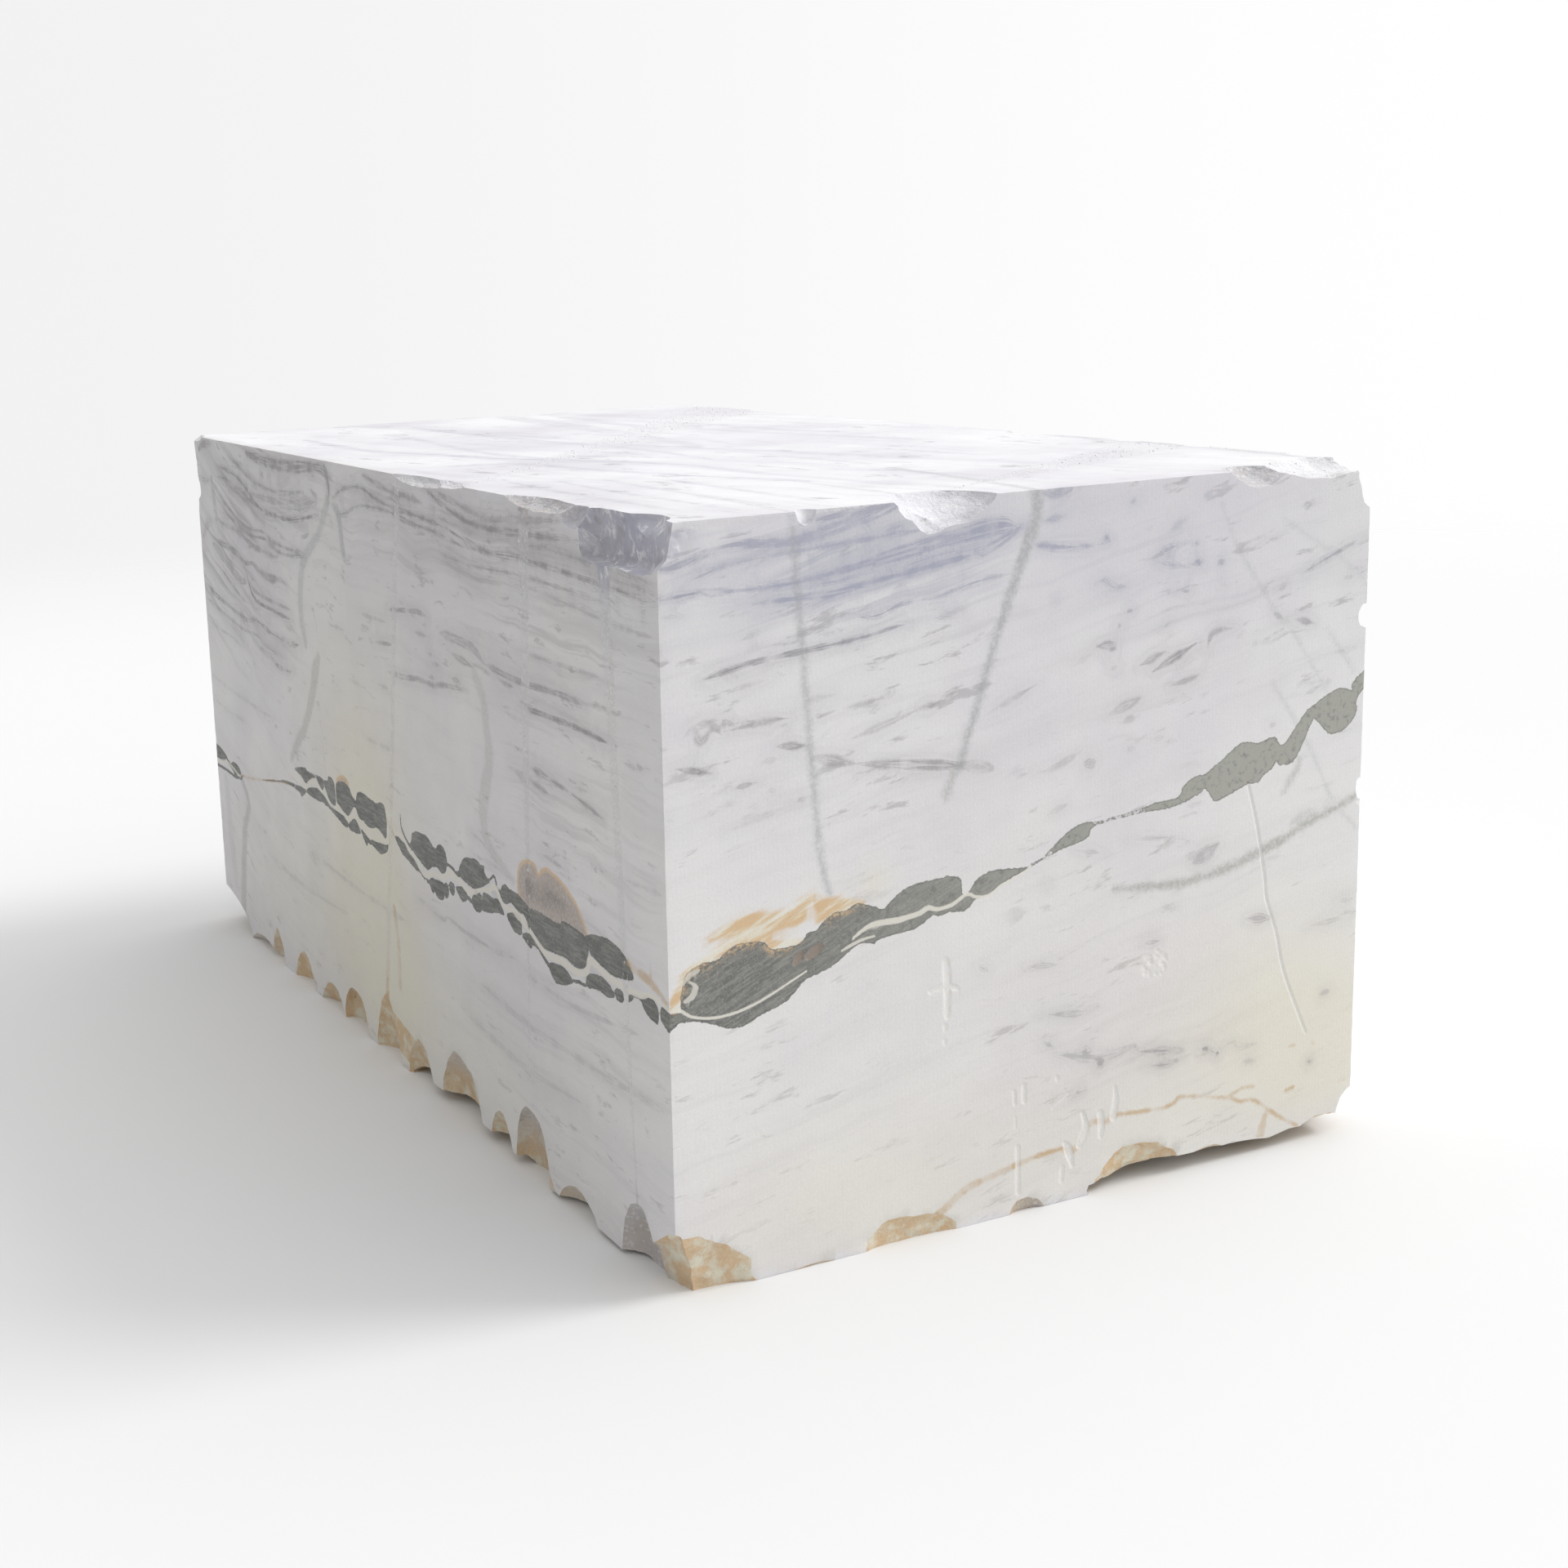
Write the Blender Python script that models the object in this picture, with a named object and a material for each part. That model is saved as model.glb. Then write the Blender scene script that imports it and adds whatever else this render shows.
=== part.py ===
"""Marble block: one wire-sawn quarry block, spalled along its arrises and under its foot.

Metres, +Z up. The block stands on z = 0 with the origin under its middle, its long side
along Y and its width along X. The walls are named left (-X), right (+X), front (-Y) and
back (+Y). An arris is the edge where two faces meet.
"""

import math
import random
from typing import NamedTuple

import bmesh
import bpy
from mathutils import Vector, noise

# Driving dimensions
WIDTH = 1.33
LENGTH = 2.63
HEIGHT = 1.20

# The broken stone
COARSE_LUMP = 0.110  # size of the large lumps on a broken face
FINE_LUMP = 0.035  # size of the small ones
LEDGE_PITCH = 0.034  # height between the ledges, which follow the level bedding
LONG_SPALL = 0.093  # a spall with a half length over this gets the finer facets
WORN_SPALLS = 14  # small spalls on the two hidden walls, for each length of arris
WORN_SEED = 11

WELD = 0.00005  # corners nearer than this are one corner
SLIVER = 0.0006  # facets thinner than this are dissolved
FLAT_ANGLE = math.radians(0.05)  # facets this nearly level with each other are one face
CREASE_ANGLE = math.radians(32)  # edges sharper than this are drawn sharp


class Wall(NamedTuple):
    """How far a sawn wall strays outwards from its square place."""

    foot: float  # at the foot, half way along
    lean: float  # from the foot to the top
    skew: float  # from one end to the other, along X or Y


LEFT = Wall(foot=0.0095, lean=-0.0195, skew=-0.0085)
RIGHT = Wall(foot=-0.0090, lean=0.0095, skew=-0.0170)
FRONT = Wall(foot=-0.0060, lean=0.0115, skew=0.0075)
BACK = Wall(foot=0.0000, lean=0.0005, skew=0.0075)


class Arris(NamedTuple):
    """An edge of the block, as the point that its spalls are measured from."""

    start: tuple  # where the coordinate along the arris is zero
    along: tuple  # direction in which that coordinate grows
    first: tuple  # direction into the stone, over the first of its two faces
    second: tuple  # direction into the stone, over the second


class Spall(NamedTuple):
    """A bite of broken stone, measured on the two sawn faces that it opens."""

    arris: str
    at: float  # coordinate of its middle along the arris
    half: float  # half its length along the arris
    first: float  # how far it runs along the arris's first direction
    second: float  # how far it runs along the second
    flat: float = 0.4  # 0 is a round scoop, and 1 nearly a flat facet
    square: float = 2.0  # 2 is a rounded bite, and 4 or more a boxy one with end walls
    rough: float = 1.0  # share of the usual roughness


X_HALF = WIDTH / 2
Y_HALF = LENGTH / 2
INTO = {"left": (1, 0, 0), "right": (-1, 0, 0), "front": (0, 1, 0), "back": (0, -1, 0)}
DOWN = (0, 0, -1)
UP = (0, 0, 1)

# Level arrises: the first direction runs over the top or under the foot, the second up or
# down the wall. Upright arrises: the first runs along the left or right wall, the second
# along the front or back wall.
ARRISES = {
    "top_left": Arris((-X_HALF, 0, HEIGHT), (0, 1, 0), INTO["left"], DOWN),
    "top_right": Arris((X_HALF, 0, HEIGHT), (0, 1, 0), INTO["right"], DOWN),
    "top_front": Arris((0, -Y_HALF, HEIGHT), (1, 0, 0), INTO["front"], DOWN),
    "top_back": Arris((0, Y_HALF, HEIGHT), (1, 0, 0), INTO["back"], DOWN),
    "foot_left": Arris((-X_HALF, 0, 0), (0, 1, 0), INTO["left"], UP),
    "foot_right": Arris((X_HALF, 0, 0), (0, 1, 0), INTO["right"], UP),
    "foot_front": Arris((0, -Y_HALF, 0), (1, 0, 0), INTO["front"], UP),
    "foot_back": Arris((0, Y_HALF, 0), (1, 0, 0), INTO["back"], UP),
    "front_left": Arris((-X_HALF, -Y_HALF, 0), UP, INTO["front"], INTO["left"]),
    "front_right": Arris((X_HALF, -Y_HALF, 0), UP, INTO["front"], INTO["right"]),
    "back_left": Arris((-X_HALF, Y_HALF, 0), UP, INTO["back"], INTO["left"]),
    "back_right": Arris((X_HALF, Y_HALF, 0), UP, INTO["back"], INTO["right"]),
}

# The corner that broke off the front of the left wall, and the crumbled lip behind it
TOP_LEFT = (
    Spall("top_left", -1.166, 0.132, 0.042, 0.080, flat=0, square=7, rough=0.5),
    Spall("top_left", -1.215, 0.095, 0.062, 0.058),
    Spall("top_left", -1.300, 0.105, 0.036, 0.080, flat=0.6),
    Spall("top_left", -1.000, 0.055, 0.034, 0.038),
    Spall("top_left", -0.880, 0.170, 0.038, 0.018),
    Spall("top_left", -0.300, 0.165, 0.030, 0.018),
    Spall("top_left", -0.430, 0.110, 0.034, 0.009),
    Spall("top_left", 0.190, 0.022, 0.009, 0.007),
    Spall("top_left", 1.300, 0.070, 0.034, 0.016, flat=0.6),
)
# The three-cornered chip in the middle of the front, and the crumbled right-hand corner
TOP_FRONT = (
    Spall("top_front", -0.415, 0.018, 0.016, 0.022),
    Spall("top_front", -0.168, 0.096, 0.115, 0.036, flat=0.7),
    Spall("top_front", -0.195, 0.046, 0.055, 0.050, flat=0.7),
    Spall("top_front", 0.435, 0.060, 0.070, 0.027, flat=0.6),
    Spall("top_front", 0.600, 0.125, 0.105, 0.022, flat=0.6),
    Spall("front_right", 1.200, 0.075, 0.080, 0.018, flat=0.7),
    Spall("front_right", 0.935, 0.020, 0.030, 0.010),
    Spall("front_right", 0.630, 0.018, 0.024, 0.007),
    Spall("top_right", 1.180, 0.060, 0.030, 0.018),
    Spall("top_right", 0.720, 0.120, 0.026, 0.014),
)
# The flaked upright arris at the far end of the left wall
BACK_LEFT = (
    Spall("back_left", 1.120, 0.170, 0.135, 0.016, rough=0.5),
    Spall("back_left", 1.075, 0.034, 0.045, 0.030),
    Spall("back_left", 0.890, 0.090, 0.070, 0.008, rough=0.5),
    Spall("back_left", 0.000, 0.088, 0.230, 0.120),
)
# The foot of the front wall, whose right half is broken away clear of the ground
FOOT_FRONT = (
    Spall("foot_front", -0.665, 0.150, 0.030, 0.114, flat=0.5),
    Spall("front_left", 0.000, 0.100, 0.110, 0.026, flat=1),
    Spall("foot_front", -0.440, 0.070, 0.012, 0.010, flat=1),
    Spall("foot_front", -0.255, 0.094, 0.017, 0.052, flat=0.5, square=3),
    Spall("foot_front", -0.030, 0.046, 0.014, 0.032, flat=1),
    Spall("foot_front", 0.480, 0.390, 0.300, 0.029, flat=0, square=4),
    Spall("foot_front", 0.195, 0.096, 0.026, 0.082, flat=0.6),
    Spall("foot_front", 0.345, 0.070, 0.030, 0.040, flat=1),
    Spall("foot_front", 0.600, 0.090, 0.050, 0.040, flat=1),
    Spall("front_right", 0.000, 0.080, 0.070, 0.036, flat=0),
)
# The foot of the left wall: a row of scalloped spalls over two long raised stretches
FOOT_LEFT = (
    Spall("foot_left", 0.980, 0.100, 0.020, 0.026, flat=1),
    Spall("foot_left", 0.855, 0.045, 0.015, 0.066, flat=1),
    Spall("foot_left", 0.640, 0.070, 0.016, 0.066, flat=1),
    Spall("foot_left", 0.440, 0.074, 0.018, 0.046, flat=1),
    Spall("foot_left", 0.270, 0.082, 0.020, 0.080, flat=0.5, square=3),
    Spall("foot_left", 0.060, 0.072, 0.020, 0.112, flat=1),
    Spall("foot_left", -0.135, 0.074, 0.020, 0.074, flat=1),
    Spall("foot_left", -0.365, 0.104, 0.026, 0.112, flat=1),
    Spall("foot_left", -0.570, 0.052, 0.020, 0.066, flat=1),
    Spall("foot_left", -0.720, 0.078, 0.024, 0.120, flat=0.5, square=3),
    Spall("foot_left", -0.920, 0.080, 0.020, 0.040, flat=1),
    Spall("foot_left", -1.170, 0.066, 0.022, 0.096, flat=1),
    Spall("foot_left", -0.360, 0.300, 0.170, 0.022, flat=0, square=4),
    Spall("foot_left", -0.960, 0.200, 0.100, 0.009, flat=0, square=4),
)
# The larger breaks of the two walls at the back
HIDDEN = (
    Spall("back_right", 0.000, 0.150, 0.120, 0.150, flat=0.6),
    Spall("back_right", 1.200, 0.060, 0.070, 0.050),
    Spall("back_right", 0.560, 0.110, 0.030, 0.022, flat=0.8),
    Spall("foot_right", -0.560, 0.230, 0.045, 0.070, flat=0.8),
    Spall("foot_right", 0.520, 0.150, 0.050, 0.110, flat=0.8),
    Spall("foot_right", 0.260, 0.420, 0.200, 0.024, flat=0, square=4),
    Spall("foot_back", -0.160, 0.160, 0.040, 0.092, flat=0.8),
    Spall("top_back", 0.210, 0.120, 0.060, 0.042, flat=0.7),
    Spall("top_right", -0.330, 0.090, 0.050, 0.036, flat=0.7),
)


def clear_scene():
    """Removes whatever the startup file holds."""
    for held in list(bpy.data.objects):
        bpy.data.objects.remove(held, do_unlink=True)


def stray(wall, z, along, length):
    """How far a wall stands out of square at a height and a place along it."""
    return wall.foot + wall.lean * z / HEIGHT + wall.skew * along / length


def corner(x_sign, y_sign, z):
    """Where two sawn walls meet at a height. The two strays depend on each other a little."""
    x, y = x_sign * X_HALF, y_sign * Y_HALF
    for _ in range(3):
        side = LEFT if x_sign < 0 else RIGHT
        end = FRONT if y_sign < 0 else BACK
        x = x_sign * (X_HALF + stray(side, z, y, LENGTH))
        y = y_sign * (Y_HALF + stray(end, z, x, WIDTH))
    return Vector((x, y, z))


def sawn_block():
    """The block as it left the saw: six flat faces, a little out of square."""
    around = ((-1, -1), (1, -1), (1, 1), (-1, 1))
    mesh = bmesh.new()
    foot = [mesh.verts.new(corner(x, y, 0)) for x, y in around]
    top = [mesh.verts.new(corner(x, y, HEIGHT)) for x, y in around]
    mesh.faces.new(foot[::-1])
    mesh.faces.new(top)
    for i in range(4):
        after = (i + 1) % 4
        mesh.faces.new((foot[i], foot[after], top[after], top[i]))
    return object_of(mesh, "marble_block")


def object_of(mesh, name):
    """Puts a bmesh into the scene as a named object."""
    data = bpy.data.meshes.new(name)
    mesh.to_mesh(data)
    mesh.free()
    made = bpy.data.objects.new(name, data)
    bpy.context.scene.collection.objects.link(made)
    return made


def roughness_at(point):
    """The relief of broken marble at a point, from -1 to 1: lumps, and ledges on its bedding."""
    lumps = noise.noise(point / COARSE_LUMP) + 0.55 * noise.noise(point / FINE_LUMP)
    level = point.z / LEDGE_PITCH + 1.6 * noise.noise(point / (2 * COARSE_LUMP))
    ledge = (level - math.floor(level)) ** 3 - 0.25
    return 0.75 * lumps + 0.35 * ledge


def cutter_of(spall, number):
    """The closed lump that a spall takes out of the block.

    In the plane across the arris the lump is a superellipse, of power `square`, through the
    two points that the spall reaches on its faces. Its centre stands off by `flat` of them.
    """
    arris = ARRISES[spall.arris]
    power = spall.square
    grown = ((1 + spall.flat) ** power + spall.flat**power) ** (1 / power)
    taken = 2 * (spall.flat / grown) ** power
    along, first, second = (Vector(way) for way in (arris.along, arris.first, arris.second))
    centre = Vector(arris.start) + along * spall.at
    centre -= first * (spall.flat * spall.first) + second * (spall.flat * spall.second)
    radii = (spall.half / (1 - taken) ** (1 / power), grown * spall.first, grown * spall.second)
    depth = spall.rough * min(0.020, 0.20 * min(spall.half, max(spall.first, spall.second)))

    mesh = bmesh.new()
    fineness = 4 if spall.half > LONG_SPALL else 3
    bmesh.ops.create_icosphere(mesh, subdivisions=fineness, radius=1)
    for vert in mesh.verts:
        unit = vert.co / sum(abs(c) ** power for c in vert.co) ** (1 / power)
        offset = along * (unit.x * radii[0]) + first * (unit.y * radii[1])
        offset += second * (unit.z * radii[2])
        spread = offset.normalized() * (depth * roughness_at(centre + offset))
        vert.co = centre + offset + spread
    if mesh.calc_volume(signed=True) < 0:
        bmesh.ops.reverse_faces(mesh, faces=mesh.faces)
    cutter = object_of(mesh, f"spall_{number:02d}")
    cutter.hide_render = True
    cutter.display_type = "WIRE"
    return cutter


def worn_spalls():
    """Small spalls scattered along the hidden arrises, the larger ones at the foot."""
    draw = random.Random(WORN_SEED)
    reaches = {"top_right": Y_HALF, "top_back": X_HALF, "foot_right": Y_HALF, "foot_back": X_HALF}
    found = []
    for arris, reach in reaches.items():
        at_foot = arris.startswith("foot")
        count = round(WORN_SPALLS * reach / (X_HALF + Y_HALF))
        for i in range(count):
            middle = -reach + 2 * reach * (i + draw.uniform(0.25, 0.75)) / count
            half = draw.uniform(0.030, 0.080)
            tall = draw.uniform(0.25, 0.90) * half * (1.0 if at_foot else 0.35)
            back = draw.uniform(0.25, 0.45) * half
            found.append(Spall(arris, middle, half, back, tall, flat=draw.uniform(0.4, 1.0)))
    return tuple(found)


def break_arrises(block):
    """Cuts every spall out of the block, one after another, and keeps the result as its mesh."""
    spalls = TOP_LEFT + TOP_FRONT + BACK_LEFT + FOOT_FRONT + FOOT_LEFT + HIDDEN + worn_spalls()
    cutters = [cutter_of(spall, number) for number, spall in enumerate(spalls)]
    for cutter in cutters:
        cut = block.modifiers.new(cutter.name, "BOOLEAN")
        cut.operation = "DIFFERENCE"
        cut.solver = "EXACT"
        cut.object = cutter
    bpy.context.view_layer.update()
    evaluated = block.evaluated_get(bpy.context.evaluated_depsgraph_get())
    broken = bpy.data.meshes.new_from_object(evaluated)
    block.modifiers.clear()
    sawn = block.data
    block.data = broken
    bpy.data.meshes.remove(sawn)
    for cutter in cutters:
        bpy.data.objects.remove(cutter, do_unlink=True)


def tidy_facets(block):
    """Joins level facets, dissolves slivers and leaves clean triangles."""
    mesh = bmesh.new()
    mesh.from_mesh(block.data)
    bmesh.ops.remove_doubles(mesh, verts=mesh.verts, dist=WELD)
    bmesh.ops.dissolve_limit(mesh, angle_limit=FLAT_ANGLE, verts=mesh.verts, edges=mesh.edges)
    bmesh.ops.dissolve_degenerate(mesh, edges=mesh.edges, dist=SLIVER)
    bmesh.ops.triangulate(mesh, faces=mesh.faces)
    mesh.to_mesh(block.data)
    mesh.free()


def stand_on_origin(block):
    """Moves the mesh so that its bounding box stands on z = 0, centred on the origin."""
    points = [vert.co for vert in block.data.vertices]
    low = Vector(min(p[i] for p in points) for i in range(3))
    high = Vector(max(p[i] for p in points) for i in range(3))
    shift = Vector((-(low.x + high.x) / 2, -(low.y + high.y) / 2, -low.z))
    for vert in block.data.vertices:
        vert.co += shift


def marble():
    """White marble, sawn and dusty."""
    material = bpy.data.materials.new("marble")
    material.use_nodes = True
    surface = material.node_tree.nodes["Principled BSDF"]
    surface.inputs["Base Color"].default_value = (0.66, 0.66, 0.67, 1)
    surface.inputs["Roughness"].default_value = 0.55
    surface.inputs["Metallic"].default_value = 0
    return material


def main():
    clear_scene()
    block = sawn_block()
    break_arrises(block)
    tidy_facets(block)
    stand_on_origin(block)
    block.data.materials.clear()
    block.data.materials.append(marble())
    block.data.shade_smooth()
    block.data.set_sharp_from_angle(angle=CREASE_ANGLE)


main()
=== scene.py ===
"""Dresses the marble block: its sawn walls, its broken stone and the markings in it.

Metres, +Z up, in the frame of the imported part. The block stands on z = 0, its length along
Y and its width along X. The sawn faces are named left (-X), right (+X), front (-Y), back
(+Y), top and foot. Markings are drawn on each face in millimetres.
"""

import logging
import math
import random
from dataclasses import dataclass, field
from enum import Enum

import bmesh
import bpy
import numpy as np
from mathutils import Matrix, Vector, kdtree
from mathutils.geometry import delaunay_2d_cdt


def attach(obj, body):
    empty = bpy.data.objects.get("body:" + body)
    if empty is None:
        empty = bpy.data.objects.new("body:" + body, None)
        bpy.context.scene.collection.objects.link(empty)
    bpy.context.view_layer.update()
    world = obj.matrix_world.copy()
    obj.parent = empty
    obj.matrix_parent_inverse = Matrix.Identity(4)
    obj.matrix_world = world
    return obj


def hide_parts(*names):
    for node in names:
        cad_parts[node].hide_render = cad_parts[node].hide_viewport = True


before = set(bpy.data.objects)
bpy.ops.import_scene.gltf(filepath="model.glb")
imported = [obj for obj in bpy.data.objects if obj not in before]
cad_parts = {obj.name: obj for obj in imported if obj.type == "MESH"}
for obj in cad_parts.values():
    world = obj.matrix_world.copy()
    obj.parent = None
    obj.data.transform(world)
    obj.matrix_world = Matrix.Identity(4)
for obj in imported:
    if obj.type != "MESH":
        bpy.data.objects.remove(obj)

LOG = logging.getLogger("marble_block")
MM = 0.001
NODE = "marble_block"


class Side(Enum):
    """The six sawn faces: the axis that each stands across, its sign, and the two it runs along."""

    LEFT = (0, -1, (1, 2))
    RIGHT = (0, 1, (1, 2))
    FRONT = (1, -1, (0, 2))
    BACK = (1, 1, (0, 2))
    TOP = (2, 1, (0, 1))
    FOOT = (2, -1, (0, 1))

    def __init__(self, across: int, sign: int, along: tuple[int, int]) -> None:
        """Keeps the axis across the face, the way it looks, and the axes markings are drawn along."""
        self.across, self.sign, self.along = across, sign, along


@dataclass(frozen=True)
class Stroke:
    """A marking drawn as a line, in millimetres.

    Its points are (a, b), with one half width for all of them, or (a, b, half width).
    """

    side: Side
    tint: float
    strength: float
    half: float
    points: tuple

    def line(self) -> np.ndarray:
        """The points as rows of (a, b, half width)."""
        return np.array([(*point, self.half)[:3] for point in self.points], float)


@dataclass(frozen=True)
class Outline:
    """A marking drawn round its edge: (a, b) at each point, in millimetres."""

    side: Side
    points: tuple


@dataclass(frozen=True)
class Spot:
    """A soft round of colour: its middle, its reach each way and its strength, in millimetres."""

    side: Side
    middle: tuple
    reach: tuple
    strength: float


def strokes(side: Side, tint: float, *rows: tuple) -> tuple:
    """The strokes of one face, each given as (strength, half width, points...)."""
    return tuple(Stroke(side, tint, row[0], row[1], row[2:]) for row in rows)


def outlines(side: Side, *rows: tuple) -> tuple:
    """The outlines of one face, each given as its points."""
    return tuple(Outline(side, row) for row in rows)


def spots(side: Side, *rows: tuple) -> tuple:
    """The soft rounds of one face, each given as (middle, reach, strength)."""
    return tuple(Spot(side, *row) for row in rows)


# ---------------------------------------------------------------- the drawn markings


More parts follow.
